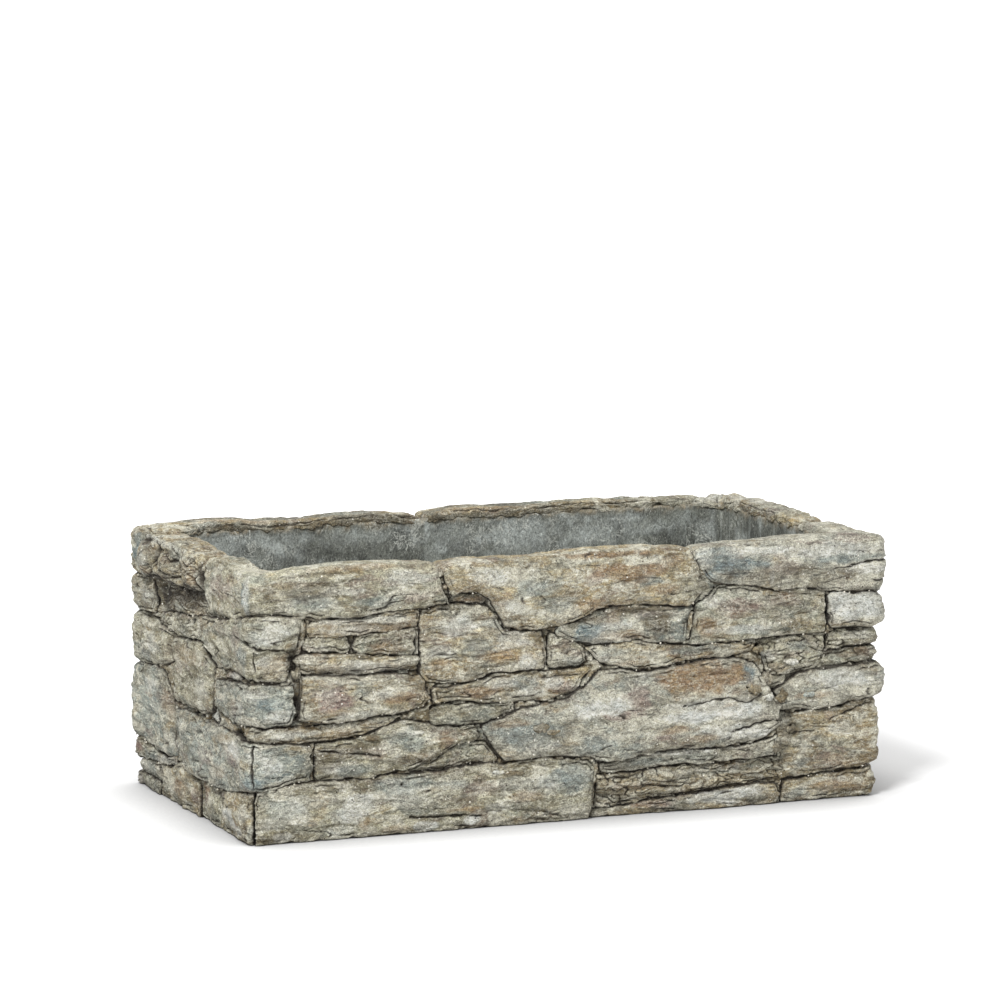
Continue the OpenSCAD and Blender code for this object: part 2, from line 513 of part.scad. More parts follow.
// One cross-section: the face from bottom to top, the rim stone's top, then the back from top to bottom.
// A face point's depth is the set-back, the arris near the edges, and a hump from the section's own row.
function section(stone, t, i, n, humps) =
    let (
        side = stone[1],
        rim = is_rim(stone),
        c = column(stone, t),
        tall = max(c[1][1] - c[0][1], 1),
        inset = min(max_share, inner_row / tall),
        middle = tall > tall_stone ? TALL_ROWS : THIN_ROWS,
        rows = [0, inset, middle[0], middle[1], 1 - inset, 1],
        end = i == 0 || i == n ? 1 : i == 1 || i == n - 1 ? inner_end_share : 0,
        squeeze = end * min(max_share, end_cut / tall),
        face = [for (k = [0:FACE_ROWS - 1])
            let (
                on_edge = k == 0 || k == FACE_ROWS - 1,
                edge = on_edge ? 1 : k == 1 || k == FACE_ROWS - 2 ? inner_row_arris : 0,
                top = rim && k == FACE_ROWS - 1 ? rim_outer_arris : 0,
                hump = rough * humps[k] * (1 - edge) * (1 - end),
                d = stone[4] + arris * max(edge, end * end_arris) + top + hump
            )
            to_space(side, face_place(stone, t, 0.5 + (rows[k] - 0.5) * (1 - squeeze)),
                min(max(d, on_edge ? edge_margin : 0), stone_depth - 1))],
        low = face_place(stone, t, 0),
        high = face_place(stone, t, 1),
        shelf = face_place(stone, t, (drawn_ledge - c[0][1]) / tall)
    )
    concat(face, rim
        ? [to_space(side, high - [0, edge_margin * end], inner_face - rim_inner_arris[0]),
           to_space(side, high - [0, rim_inner_arris[1]], inner_face),
           to_space(side, shelf, inner_face),
           to_space(side, shelf, stone_depth),
           to_space(side, low, stone_depth)]
        : [to_space(side, high, stone_depth),
           to_space(side, low, stone_depth)]);

// A stone as one closed skin over its sections, with a fan of triangles on each end. The skin's diagonals
// alternate, so that no line shows along the stone. The fan's hub is the back corner that sees the others.
module ledge_stone(stone, seed) {
    ts = columns(stone);
    n = len(ts) - 1;
    humps = rands(-1, 1, (n + 1) * FACE_ROWS, seed);
    sections = [for (i = [0:n])
        section(stone, ts[i], i, n, [for (k = [0:FACE_ROWS - 1]) humps[i * FACE_ROWS + k]])];
    p = len(sections[0]);
    hub = is_rim(stone) ? p - 2 : p - 1;
    skin = [for (i = [0:n - 1], k = [0:p - 1])
        let (a = i * p + k, b = i * p + (k + 1) % p)
        each (i + k) % 2 == 0 ? [[a, b, b + p], [a, b + p, a + p]] : [[a, b, a + p], [b, b + p, a + p]]];
    ends = [for (k = [1:p - 2])
        let (a = (hub + k) % p, b = (hub + k + 1) % p)
        each [[hub, b, a], [n * p + hub, n * p + a, n * p + b]]];
    color(stone[6])
        polyhedron(points = [for (s = sections) each s], faces = concat(skin, ends));
}

// A rectangle with true round corners, centred on the origin.
module rounded_rect(l, w, r) {
    square([l - 2 * r, w], center = true);
    square([l, w - 2 * r], center = true);
    for (x = [-1, 1], y = [-1, 1])
        translate([x * (l / 2 - r), y * (w / 2 - r)]) circle(r = r, $fn = 48);
}

// The cast cement trough: a floor with a drain hole, and four walls up to the underside of the rim stones.
module trough() {
    outside = stone_depth + mortar;
    color(CEMENT)
        difference() {
            linear_extrude(ledge)
                rounded_rect(length - 2 * outside, depth - 2 * outside, trough_corner_r);
            translate([0, 0, floor_t])
                linear_extrude(height)
                    rounded_rect(length - 2 * wall, depth - 2 * wall, inner_corner_r);
            translate([0, 0, -1])
                cylinder(d = drain_d, h = floor_t + 2, $fn = 64);
        }
}

// The mortar coat between the trough and the backs of the stones, which stops just short of the ground.
module mortar_bed() {
    outside = stone_depth + mortar;
    color(MORTAR)
        translate([0, 0, mortar_lift])
            linear_extrude(ledge - mortar_lift)
                difference() {
                    rounded_rect(length - 2 * stone_depth, depth - 2 * stone_depth, mortar_corner_r);
                    rounded_rect(length - 2 * outside, depth - 2 * outside, trough_corner_r);
                }
}

trough();
mortar_bed();
for (i = [0:len(STONES) - 1])
    ledge_stone(STONES[i], 100 + i);
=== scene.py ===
import json
import math

import bpy
import numpy as np
from mathutils import Matrix, Vector


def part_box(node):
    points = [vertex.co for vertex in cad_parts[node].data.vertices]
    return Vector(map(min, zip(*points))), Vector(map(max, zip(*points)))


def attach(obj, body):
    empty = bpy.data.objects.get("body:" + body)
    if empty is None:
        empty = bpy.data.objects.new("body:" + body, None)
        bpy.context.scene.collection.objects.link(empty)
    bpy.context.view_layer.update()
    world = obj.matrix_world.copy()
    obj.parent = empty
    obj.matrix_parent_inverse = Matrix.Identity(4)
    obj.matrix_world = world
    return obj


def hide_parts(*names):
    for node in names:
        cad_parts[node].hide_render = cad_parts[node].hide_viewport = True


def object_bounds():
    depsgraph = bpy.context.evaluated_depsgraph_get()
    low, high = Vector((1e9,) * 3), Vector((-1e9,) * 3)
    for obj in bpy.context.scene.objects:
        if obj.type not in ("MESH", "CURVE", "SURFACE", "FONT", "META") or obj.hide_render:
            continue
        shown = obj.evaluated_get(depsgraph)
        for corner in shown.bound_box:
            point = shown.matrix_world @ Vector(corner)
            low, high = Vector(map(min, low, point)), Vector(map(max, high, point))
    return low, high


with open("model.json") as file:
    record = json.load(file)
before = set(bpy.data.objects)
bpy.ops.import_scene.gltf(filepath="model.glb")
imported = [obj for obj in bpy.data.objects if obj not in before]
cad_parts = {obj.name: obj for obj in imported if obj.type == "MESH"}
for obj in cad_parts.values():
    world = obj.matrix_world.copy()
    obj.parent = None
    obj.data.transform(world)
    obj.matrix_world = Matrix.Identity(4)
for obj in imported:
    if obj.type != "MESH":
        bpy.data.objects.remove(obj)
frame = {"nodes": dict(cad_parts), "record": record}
cad_low, cad_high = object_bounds()


# The trough
# The liner of the planter is one smooth casting in slate-grey cement. Its walls are mottled, scratched by
# the trowel and blotched with chalk, with a brown line of earth at the top. All else is laid round it.

MM = 0.001
HALF_X = (cad_high.x - cad_low.x) / 2 / MM
HALF_Y = (cad_high.y - cad_low.y) / 2 / MM
HALF_RUN = HALF_X + HALF_Y
ROUND = 4 * HALF_RUN
FACE_R = 12.0
BACK_R = 2.0
INNER_R = 14.0
CORNER_ZONE = 46.0
trough_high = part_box("trough")[1] / MM
TROUGH_OUT = HALF_X - trough_high.x
TROUGH_WALL = 9.0
WALL = TROUGH_OUT + TROUGH_WALL
TROUGH_TOP = trough_high.z
LIP = 1.2
LIP_TOP = TROUGH_TOP + 6.4
FLOOR = 12.0
DRAIN_R = 8.0
FILLET = 9.0
TROUGH_COLUMNS, INSIDE_ROWS, FILLET_ROWS, FLOOR_ROWS = 780, 60, 9, 26
WAVE = 0.35
# Chalky patches on the inside of the back wall: u, z, half sizes and strength. The sooty one is the same.
CHALKED = ((172, 150, 32, 14, 0.6), (-50, 148, 24, 12, 1.0), (-100, 147, 22, 9, 0.9), (118, 150, 14, 8, 0.8),
           (-172, 154, 16, 8, 0.7), (16.3, 156, 1.6, 7, 1.2), (0, 152, 20, 10, 0.5), (60, 154, 24, 5, 0.5))
SOOTY = (70, 142, 40, 10, 0.6)


def wall_point(s, d):
    """Plan x and y of a place s along the walls, from the middle of the front to the right and round, and
    d in from the outer face. Near a corner the path is an arc to the mitre, then eased to the straight."""
    s = np.mod(s, ROUND)
    side = np.searchsorted([HALF_X, ROUND / 4 + HALF_Y, ROUND / 2 + HALF_X, 3 * ROUND / 4 + HALF_Y], s) % 4
    u = s - side * HALF_RUN
    u = np.where(u > 2 * HALF_RUN, u - ROUND, u)
    half = np.where(side % 2 == 0, HALF_X, HALF_Y)
    t = half - np.abs(u)
    r = np.where(d <= FACE_R, np.maximum(FACE_R - d, BACK_R),
                 BACK_R + (INNER_R - BACK_R) * (d - FACE_R) / (WALL - FACE_R))
    centre = d + r
    angle = np.pi / 4 * (1 - np.clip(t / FACE_R, 0, 1))
    eased = centre + (CORNER_ZONE - centre) * (t - FACE_R) / (CORNER_ZONE - FACE_R)
    back = np.where(t >= CORNER_ZONE, t, np.where(t >= FACE_R, eased, centre - r * np.sin(angle)))
    inward = np.where(t >= FACE_R, d, centre - r * np.cos(angle))
    along = np.where(u < 0, -1, 1) * (half - back)
    across = inward - (HALF_RUN - half)
    x = np.choose(side, [along, -across, -along, across])
    y = np.choose(side, [across, along, -across, -along])
    return x, y


def noise(x, y, seed):
    """Gradient noise from about -1 to 1: each whole-number corner of the plane has a hashed direction, and
    the four dot products with the offsets from the corners are blended by a fifth-degree ease in x and y."""
    x, y = np.broadcast_arrays(x, y)
    xi, yi = np.floor(x).astype(np.int64), np.floor(y).astype(np.int64)
    fx, fy = x - xi, y - yi
    ex, ey = (f * f * f * (f * (f * 6 - 15) + 10) for f in (fx, fy))

    def corner(i, j):
        h = ((xi + i) * 374761393 + (yi + j) * 668265263 + seed * 362437) & 0xFFFFFFFF
        h = ((h ^ (h >> 13)) * 1274126177) & 0xFFFFFFFF
        turn = (h ^ (h >> 16)) * (2 * np.pi / 0xFFFFFFFF)
        return np.cos(turn) * (fx - i) + np.sin(turn) * (fy - j)

    low = corner(0, 0) * (1 - ex) + corner(1, 0) * ex
    high = corner(0, 1) * (1 - ex) + corner(1, 1) * ex
    return 1.5 * (low * (1 - ey) + high * ey)


def rough(x, y, seed, octaves):
    """Sum of octaves of noise, each at twice the frequency and half the height of the last."""
    return sum(noise(x * 2 ** k, y * 2 ** k, seed + 17 * k) / 2 ** k for k in range(octaves))


def smooth(x, low, high):
    """0 below low, 1 above high, and the cubic 3t^2 - 2t^3 between them."""
    t = np.clip((x - low) / (high - low), 0, 1)
    return t * t * (3 - 2 * t)


def put_mesh(name, points, quads, triangles, attributes):
    """A smooth-shaded object from point and face arrays in millimetres, with named values on its points."""
    mesh = bpy.data.meshes.new(name)
    mesh.vertices.add(len(points))
    mesh.vertices.foreach_set("co", (points * MM).astype(np.float32).ravel())
    corners = np.concatenate([quads.ravel(), triangles.ravel()]).astype(np.int32)
    starts = np.concatenate([np.arange(len(quads)) * 4, len(quads) * 4 + np.arange(len(triangles)) * 3])
    mesh.loops.add(len(corners))
    mesh.loops.foreach_set("vertex_index", corners)
    mesh.polygons.add(len(starts))
    mesh.polygons.foreach_set("loop_start", starts.astype(np.int32))
    mesh.polygons.foreach_set("use_smooth", np.ones(len(starts), bool))
    mesh.update(calc_edges=True)
    for key, values in attributes.items():
        data = mesh.attributes.new(key, "FLOAT", "POINT").data
        data.foreach_set("value", values.astype(np.float32).ravel())
    piece = bpy.data.objects.new(name, mesh)
    bpy.context.scene.collection.objects.link(piece)
    return piece


def ring_quads(columns, rows, closed_columns):
    """Faces of a skin whose point (i, k) is number i * rows + k, closed round its rows, and round its
    columns too if asked. Each face runs (i, k), (i + 1, k), (i + 1, k + 1), (i, k + 1)."""
    i = np.arange(columns if closed_columns else columns - 1)[:, None]
    k, after = np.arange(rows)[None, :], (np.arange(rows)[None, :] + 1) % rows
    a, b = i % columns * rows, (i + 1) % columns * rows
    return np.stack(np.broadcast_arrays(a + k, b + k, b + after, a + after), -1).reshape(-1, 4)


def trough_skin():
    """Carries one closed profile round the walls: up the outside, over the rim, up a thin lip behind the
    rim stones' edge, down the inside with a fillet to the floor, in to the drain hole, down through it
    and back under the floor. On the floor each point slides from the wall's ring to the hole's circle.
    The inside is waved by slow noise. With the points come the amounts of chalk and painted highlight,
    soot and earth there: noise above a threshold, patches on the back wall, drips on the right one, a
    painted highlight as a lighter strip down the back right inside corner, and the line of earth."""
    s = np.linspace(0, ROUND, TROUGH_COLUMNS, endpoint=False)
    inside_z = np.linspace(LIP_TOP, FLOOR + FILLET, INSIDE_ROWS)
    turn = np.linspace(0, np.pi / 2, FILLET_ROWS)[1:]
    d = np.concatenate([[TROUGH_OUT] * 2, [WALL - LIP] * 2, np.full(INSIDE_ROWS, WALL),
                        WALL + FILLET * (1 - np.cos(turn))])
    z = np.concatenate([[0, TROUGH_TOP, TROUGH_TOP, LIP_TOP], inside_z, FLOOR + FILLET * (1 - np.sin(turn))])
    x, y = wall_point(s[:, None], np.minimum(d, WALL)[None, :])
    shrink = np.clip(d - WALL, 0, None)[None, :]
    x = x * (1 - shrink / (HALF_X - WALL))
    y = y * (1 - shrink / (HALF_Y - WALL))
    wave = WAVE * rough(s[:, None] / 60, z[None, :] / 34, 3, 4) * (np.arange(len(d)) > 4)[None, :]
    x, y = x * (1 + wave / HALF_X), y * (1 + wave / HALF_Y)
    run, lift = s[:, None], np.broadcast_to(z, x.shape)
    share = np.linspace(0, 1, FLOOR_ROWS)[None, 1:]
    bearing = np.arctan2(y[:, -1:] / HALF_Y, x[:, -1:] / HALF_X)
    hole_x, hole_y = DRAIN_R * np.cos(bearing), DRAIN_R * np.sin(bearing)
    floor_x = x[:, -1:] * (1 - share) + hole_x * share
    floor_y = y[:, -1:] * (1 - share) + hole_y * share
    floor_z = FLOOR - 0.25 * smooth(share, 0, 0.3) + 0.25 * smooth(share, 0.8, 1) + 0 * floor_x
    x = np.concatenate([x, floor_x, hole_x], 1)
    y = np.concatenate([y, floor_y, hole_y], 1)
    z = np.concatenate([lift, floor_z, 0 * hole_x], 1)
    points = np.stack([x, y, z], -1).reshape(-1, 3)

    chalk_and_highlight = 0.5 * smooth(rough(run / 24, lift / 20, 72, 5), 0.1, 0.8)
    # Painted highlight: a lighter strip straight down the back right inside corner.
    in_corner = np.exp(-((run - HALF_RUN - HALF_Y) / 2.2) ** 2)
    chalk_and_highlight += 0.6 * in_corner * (0.7 + 0.5 * noise(run / 9, lift / 9, 74))
    bent = 1 + 0.6 * rough(run / 11, lift / 9, 75, 4)

    def patch(u, at, half_u, half_z, strength):
        away = ((run - 2 * HALF_RUN - u) / half_u) ** 2 + ((lift - at) / half_z) ** 2
        return strength * np.exp(-away * bent ** 2)

    for row in CHALKED:
        chalk_and_highlight += patch(*row)
    drip = smooth(noise(run / 3.4, lift / 80, 71), 0.15, 0.5) * smooth(lift, TROUGH_TOP - 60, TROUGH_TOP - 5)
    chalk_and_highlight += 0.5 * drip * smooth(HALF_Y + 32 - np.abs(run - HALF_RUN), 0, 14)
    soot = 0.8 * smooth(rough(run / 30, lift / 20, 73, 5), 0.0, 0.7)
    soot += patch(*SOOTY)
    earth = smooth(lift + 3.0 * rough(run / 9, lift / 6, 76, 5), LIP_TOP - 4.5, LIP_TOP - 0.5)
    rest = np.zeros((len(s), x.shape[1] - lift.shape[1]))
    marks = {name: np.concatenate([value, rest], 1).ravel()
             for name, value in (("chalk_and_highlight", np.clip(chalk_and_highlight, 0, 1)), ("soot", soot), ("earth", earth))}
    return points, ring_quads(len(s), x.shape[1], True), marks


def linear(text):
    """A colour as it is seen, written as six hex digits, in the linear values that a shader takes."""
    seen = [int(text[i:i + 2], 16) / 255 for i in (0, 2, 4)]
    return [c / 12.92 if c <= 0.04045 else ((c + 0.055) / 1.055) ** 2.4 for c in seen] + [1.0]


def wire(tree, kind, inputs=(), **settings):
    """Adds a node, sets its properties, and sets or links its inputs, given as (socket, value or output)."""
    made = tree.nodes.new(kind)
    for key, value in settings.items():
        setattr(made, key, value)
    for socket, value in inputs:
        if isinstance(value, bpy.types.NodeSocket):
            tree.links.new(value, made.inputs[socket])
        else:
            made.inputs[socket].default_value = value
    return made


def remap(tree, value, low, high, first=0.0, last=1.0):
    """A value spread from low and high to first and last, and held between them."""
    return wire(tree, "ShaderNodeMapRange", [("Value", value), ("From Min", low), ("From Max", high),
                                             ("To Min", first), ("To Max", last)], clamp=True).outputs[0]


def grain(tree, scale, detail, stretch=(1, 1, 1), shift=0.0, low=0.0, high=1.0, swirl=0.0):
    """Noise on Object coordinates, stretched along the axes, with its low to high band spread over 0 to 1."""
    place = wire(tree, "ShaderNodeTexCoord").outputs["Object"]
    place = wire(tree, "ShaderNodeMapping", [("Vector", place), ("Scale", stretch),
                                             ("Location", (shift, shift * 0.7, shift * 1.3))]).outputs[0]
    value = wire(tree, "ShaderNodeTexNoise", [("Vector", place), ("Scale", scale), ("Detail", detail),
                                              ("Roughness", 0.6), ("Distortion", swirl)]).outputs["Fac"]
    return remap(tree, value, low, high)


def blend(tree, share, first, second, mode="MIX"):
    """Colour mix of two colours by a share."""
    return wire(tree, "ShaderNodeMix", [(0, share), (6, first), (7, second)],
                data_type="RGBA", blend_type=mode).outputs[2]


def calc(tree, operation, first, second, clamp=False):
    """One arithmetic step on two values."""
    return wire(tree, "ShaderNodeMath", [(0, first), (1, second)], operation=operation,
                use_clamp=clamp).outputs[0]


def times(tree, first, second):
    """The product of two values."""
    return calc(tree, "MULTIPLY", first, second)


def thin_line(tree, value, width):
    """1 where a value passes 0.5, falling to 0 at the given width to both sides: a thin wandering line."""
    away = calc(tree, "ABSOLUTE", calc(tree, "SUBTRACT", value, 0.5), 0.0)
    return remap(tree, away, 0.0, width, 1.0, 0.0)


def new_material(name):
    """A material with its Principled BSDF, and the tree that they are in."""
    material = bpy.data.materials.new(name)
    material.use_nodes = True
    tree = material.node_tree
    return material, tree, next(n for n in tree.nodes if n.type == "BSDF_PRINCIPLED")


def finish_shader(tree, shader, colour, roughness, height, distance):
    """Feeds the colour, the roughness and a bump of the given depth in metres into the shader."""
    tree.links.new(colour, shader.inputs["Base Color"])
    tree.links.new(roughness, shader.inputs["Roughness"])
    bump = wire(tree, "ShaderNodeBump", [("Height", height), ("Distance", distance), ("Strength", 1.0)])
    tree.links.new(bump.outputs[0], shader.inputs["Normal"])


cement, tree, shader = new_material("cement")
shades = grain(tree, 34, 7, (1, 1, 1), 3.1, 0.38, 0.62, 0.8)
clouds = grain(tree, 150, 7, (1.1, 1.1, 0.8), 7.7, 0.4, 0.6, 1.2)
scratches = grain(tree, 330, 5, (1.2, 1.2, 0.5), 1.3, 0.5, 0.68, 2.2)
grit = grain(tree, 900, 4, (1, 1, 0.7), 9.0, 0.3, 0.7, 0.8)
specks = grain(tree, 900, 2, (1, 1, 1), 5.0, 0.64, 0.72)
curls = thin_line(tree, grain(tree, 75, 3, (1, 1, 0.8), 13.0, 0.3, 0.7, 3.0), 0.11)
curls = times(tree, curls, grain(tree, 45, 3, (1, 1, 1), 19.0, 0.5, 0.62))
tone = blend(tree, shades, linear("474944"), linear("75786f"))
tone = blend(tree, times(tree, clouds, 0.45), tone, linear("4b4d48"))
for mark, strength, shade in (("soot", 0.7, "434540"), ("chalk_and_highlight", 0.85, "b0b6b2"), ("earth", 0.9, "8b806a")):
    there = wire(tree, "ShaderNodeAttribute", attribute_name=mark).outputs["Fac"]
    there = times(tree, there, calc(tree, "ADD", times(tree, clouds, 0.5), 0.6))
    tone = blend(tree, calc(tree, "MULTIPLY", there, strength, True), tone, linear(shade))
tone = blend(tree, times(tree, scratches, 0.4), tone, linear("b3b6ae"))
tone = blend(tree, times(tree, curls, 0.75), tone, linear("c9cbc2"))
tone = blend(tree, 0.65, tone, blend(tree, grit, linear("2f2f2a"), linear("ffffff")), "OVERLAY")
tone = blend(tree, times(tree, specks, 0.6), tone, linear("d0cfc4"))
height = calc(tree, "ADD", times(tree, clouds, 0.7), times(tree, scratches, 0.4))
finish_shader(tree, shader, tone, remap(tree, clouds, 0.0, 1.0, 0.62, 0.8), height, 0.0004)

points, quads, marks = trough_skin()
cast = put_mesh("cast_trough", points, quads, np.zeros((0, 3)), marks)
cast.data.materials.append(cement)
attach(cast, "root")
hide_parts("trough")


# The rim stones of the front
# Split ledge stones in the front wall's top course, each bent over the trough's wall as a coping and
# bedded in mortar. Their riven faces have thin strata and a rubbed arris, and were stained by hand: umber
# in the hollows, deepened there with painted shade, lime on the high places, and patches of rust,
# blue-grey and plum.

FRONT, RIGHT, BACK, LEFT = range(4)
DRAWN_HALF = (210.0, 111.0, 210.0, 111.0)
STONE_BACK = 9.0
# Spacing of the points on the stones that the photograph shows, and on the others.
FINE = 0.62
COARSE = 1.0
RIM_INNER = WALL + 0.8
OUTER_ARRIS, INNER_ARRIS = 6.5, 3.0
# How far the crest is above the solids' flat rim, and the limits of the crest and of the relief on it.
CREST_RISE = 2.8
CREST_MAX = 169.2
TALLEST = 169.8
CRACK_DEPTH = 2.6
STAIN_STRENGTH = 1.1
# Umber is a brown stain that is partly painted shade, laid in recesses and under overhangs. A wash stain is
# painted shade.
STAIN_KINDS = ("rust", "slate", "plum", "lime", "umber")
# The least depth of a stone's skin at each millimetre along and up the walls, for the mortar, and the
# places of the stones' lower edges, for the crumbs.
cover = np.full((int(ROUND), int(cad_high.z / MM) + 1), STONE_BACK)
joint_places = []


def along(side, u):
    """Place along the walls of a wall's own u, stretched from the size at which the outlines are drawn."""
    drawn, half = DRAWN_HALF[side], (HALF_X, HALF_Y)[side % 2]
    beyond = max(abs(u) - drawn, 0) * (HALF_RUN - half) / DRAWN_HALF[(side + 1) % 4]
    return side * HALF_RUN + math.copysign(min(abs(u), drawn) * half / drawn + beyond, u)


def unroll(x, y):
    """The inverse of wall_point for depths under the face's corner radius: place along the walls, and
    depth. Inside a corner's square both come from the polar angle and radius about the arc's centre."""
    from_x, from_y = HALF_X - np.abs(x), HALF_Y - np.abs(y)
    long_wall = from_y < from_x
    a, b = np.where(long_wall, from_x, from_y), np.where(long_wall, from_y, from_x)
    corner = (a < FACE_R) & (b < FACE_R)
    angle = np.arctan2(FACE_R - a, FACE_R - b)
    d = np.where(corner, FACE_R - np.hypot(FACE_R - a, FACE_R - b), b)
    t = np.where(corner, FACE_R * (1 - angle / (np.pi / 4)), a)
    side = np.where(long_wall, np.where(y < 0, FRONT, BACK), np.where(x > 0, RIGHT, LEFT))
    sign = np.sign(np.choose(side, [x, y, -x, -y]))
    return side * HALF_RUN + sign * (np.where(long_wall, HALF_X, HALF_Y) - t), d


def solids(name):
    """The node's separate solids: for each, the places, heights and depths of the ends of its edges in
    front of the stones' backs. Loose triangles are first joined where their corners agree."""
    mesh = frame["nodes"][name].data
    co = np.empty(len(mesh.vertices) * 3, np.float32)
    mesh.vertices.foreach_get("co", co)
    loops = np.empty(len(mesh.loops), np.int32)
    mesh.loops.foreach_get("vertex_index", loops)
    points, joined = np.unique(np.round(co.reshape(-1, 3) / MM, 2), axis=0, return_inverse=True)
    faces = joined.ravel()[loops].reshape(-1, 3)
    label = np.arange(len(points))
    while True:
        lowest = label[faces].min(1)
        before = label.copy()
        np.minimum.at(label, faces.ravel(), np.repeat(lowest, 3))
        if (before == label).all():
            break
    s, d = unroll(points[:, 0], points[:, 1])
    edges = np.concatenate([faces[:, [0, 1]], faces[:, [1, 2]], faces[:, [2, 0]]])
    edges = edges[(d[edges] < STONE_BACK + 0.06).all(1)]
    for part in np.unique(label):
        own = edges[label[edges[:, 0]] == part]
        ends = s[own]
        ends = s[own[0, 0]] + np.mod(ends - s[own[0, 0]] + ROUND / 2, ROUND) - ROUND / 2
        yield ends, points[own, 2], d[own]


def outline(ends, heights, s):
    """Lowest and highest z of a solid at each place s: its edges are cut there, and the lowest and the
    highest cuts are kept."""
    run = ends[:, 1] - ends[:, 0]
    leaning = np.abs(run) > 1e-4
    ends, heights, run = ends[leaning], heights[leaning], run[leaning]
    t = (s[:, None] - ends[:, 0]) / run
    cut = heights[:, 0] + t * (heights[:, 1] - heights[:, 0])
    inside = (t > -1e-6) & (t < 1 + 1e-6)
    return np.where(inside, cut, 1e9).min(1), np.where(inside, cut, -1e9).max(1)


def distance_to(lines, s, w):
    """Distance of each point (s, w) from the nearest of the segments (s0, w0, s1, w1)."""
    best = np.full(s.shape, 1e9, np.float32)
    for s0, w0, s1, w1 in lines:
        run, rise = s1 - s0, w1 - w0
        t = np.clip(((s - s0) * run + (w - w0) * rise) / max(run * run + rise * rise, 1e-9), 0, 1)
        np.minimum(best, np.hypot(s - s0 - t * run, w - w0 - t * rise), out=best)
    return best


def softened(field, radius):
    """The field averaged over a box of the given radius in points, along its columns and its rows."""
    for axis in (0, 1):
        n = field.shape[axis]
        total = np.cumsum(np.insert(field, 0, 0, axis=axis), axis=axis)
        high = np.minimum(np.arange(n) + radius + 1, n)
        low = np.maximum(np.arange(n) - radius, 0)
        width = (high - low).reshape((-1, 1) if axis == 0 else (1, -1))
        field = (np.take(total, high, axis) - np.take(total, low, axis)) / width
    return field


def riven(s, w, seed, facet, strata, lumps, worms):
    """Depth of the riven face, on coordinates that slow noise has bent. Its facets are the deepest of six
    tilted planes, its strata a noise drawn out along the bed and cut into steps with short risers, its
    creases the zero lines of another, kept here and there, and its worms close, short furrows."""
    rng = np.random.default_rng(seed)
    mid_s, half_s = (s.max() + s.min()) / 2, (s.max() - s.min()) / 2
    mid_w, half_w = (w.max() + w.min()) / 2, (w.max() - w.min()) / 2
    depth = np.zeros_like(s)
    for _ in range(6):
        lean_s, lean_w = rng.normal(0, 1.3 / (half_s + 14)), rng.normal(0, 1.0 / (half_w + 6))
        at_s, at_w = mid_s + rng.uniform(-1, 1) * half_s, mid_w + rng.uniform(-1, 1) * half_w
        depth = np.maximum(depth, facet * ((s - at_s) * lean_s + (w - at_w) * lean_w - rng.uniform(0, 0.5)))
    bent_s = s + 3.0 * noise(s / 17, w / 12, seed + 1) + 0.9 * noise(s / 5, w / 4, seed + 2)
    bent_w = w + 2.4 * noise(s / 24, w / 13, seed + 3) + 0.7 * noise(s / 6, w / 4, seed + 4)
    beds = 1.5 * noise(bent_s / 48, bent_w / 6.2, seed + 5) + 0.7 * noise(bent_s / 17, bent_w / 3.1, seed + 6)
    step = np.floor(beds)
    depth += strata * 0.8 * (step + smooth(beds - step, 0.65, 1.0))
    depth += lumps * (0.9 * noise(bent_s / 19, bent_w / 12, seed + 7)
                      + 0.8 * noise(bent_s / 9.5, bent_w / 6.5, seed + 8)
                      - 0.5 * np.abs(noise(bent_s / 5.2, bent_w / 4.2, seed + 9)))
    crease = np.exp(-(noise(bent_s / 34, bent_w / 7, seed + 10) / 0.05) ** 2)
    crease *= smooth(noise(s / 26, w / 8, seed + 11), 0.3, 0.6)
    depth += 0.8 * crease
    if worms:
        furrow = np.exp(-(noise(bent_s / 10, bent_w / 3.4, seed + 12) / 0.1) ** 2)
        depth += worms * furrow * smooth(noise(s / 20, w / 9, seed + 13), -0.35, 0.15)
        crease = np.maximum(crease, 0.8 * min(worms, 1) * furrow)
    fine = 0.2 * noise(s / 4.4, w / 2.1, seed + 14) + 0.1 * noise(s / 2.0, w / 1.2, seed + 15)
    return depth + fine, crease


def knobbly(s, w, seed):
    """Depth of a face of rounded knobs: folded noise, which has broad humps and narrow furrows."""
    folds = np.abs(noise(s / 17, w / 13, seed + 18)) + 0.4 * np.abs(noise(s / 7, w / 6, seed + 19))
    return 4.0 * (1 - smooth(folds, 0.0, 0.7))


def within(s, w, side, u, z, half_u, half_z, seed):
    """1 in the middle of an ellipse on a wall, falling to 0 at an edge that noise makes ragged."""
    reach = np.hypot((s - along(side, u)) / half_u, (w - z) / half_z)
    return 1 - smooth(reach + 0.36 * rough(s / 13, w / 8, seed, 5), 0.5, 1.1)


def mound(s, w, side, u, z, half_u, half_z, seed):
    """A smooth hump on a wall, exp(-r^2) of the distance r in half sizes, lightly bent by noise."""
    reach = np.hypot((s - along(side, u)) / half_u, (w - z) / half_z)
    return np.exp(-(1.25 * reach * (1 + 0.3 * noise(s / 9, w / 7, seed))) ** 2)


def wall_section(low, high, back, pitch):
    """Depth, height and lean of a wall stone's face, row by row for each column, and its length there."""
    rows = max(int((high - low).max() / pitch), 4)
    z = low[:, None] + (high - low)[:, None] * np.linspace(0, 1, rows + 1)
    return np.full_like(z, back), z, np.zeros(rows + 1), z


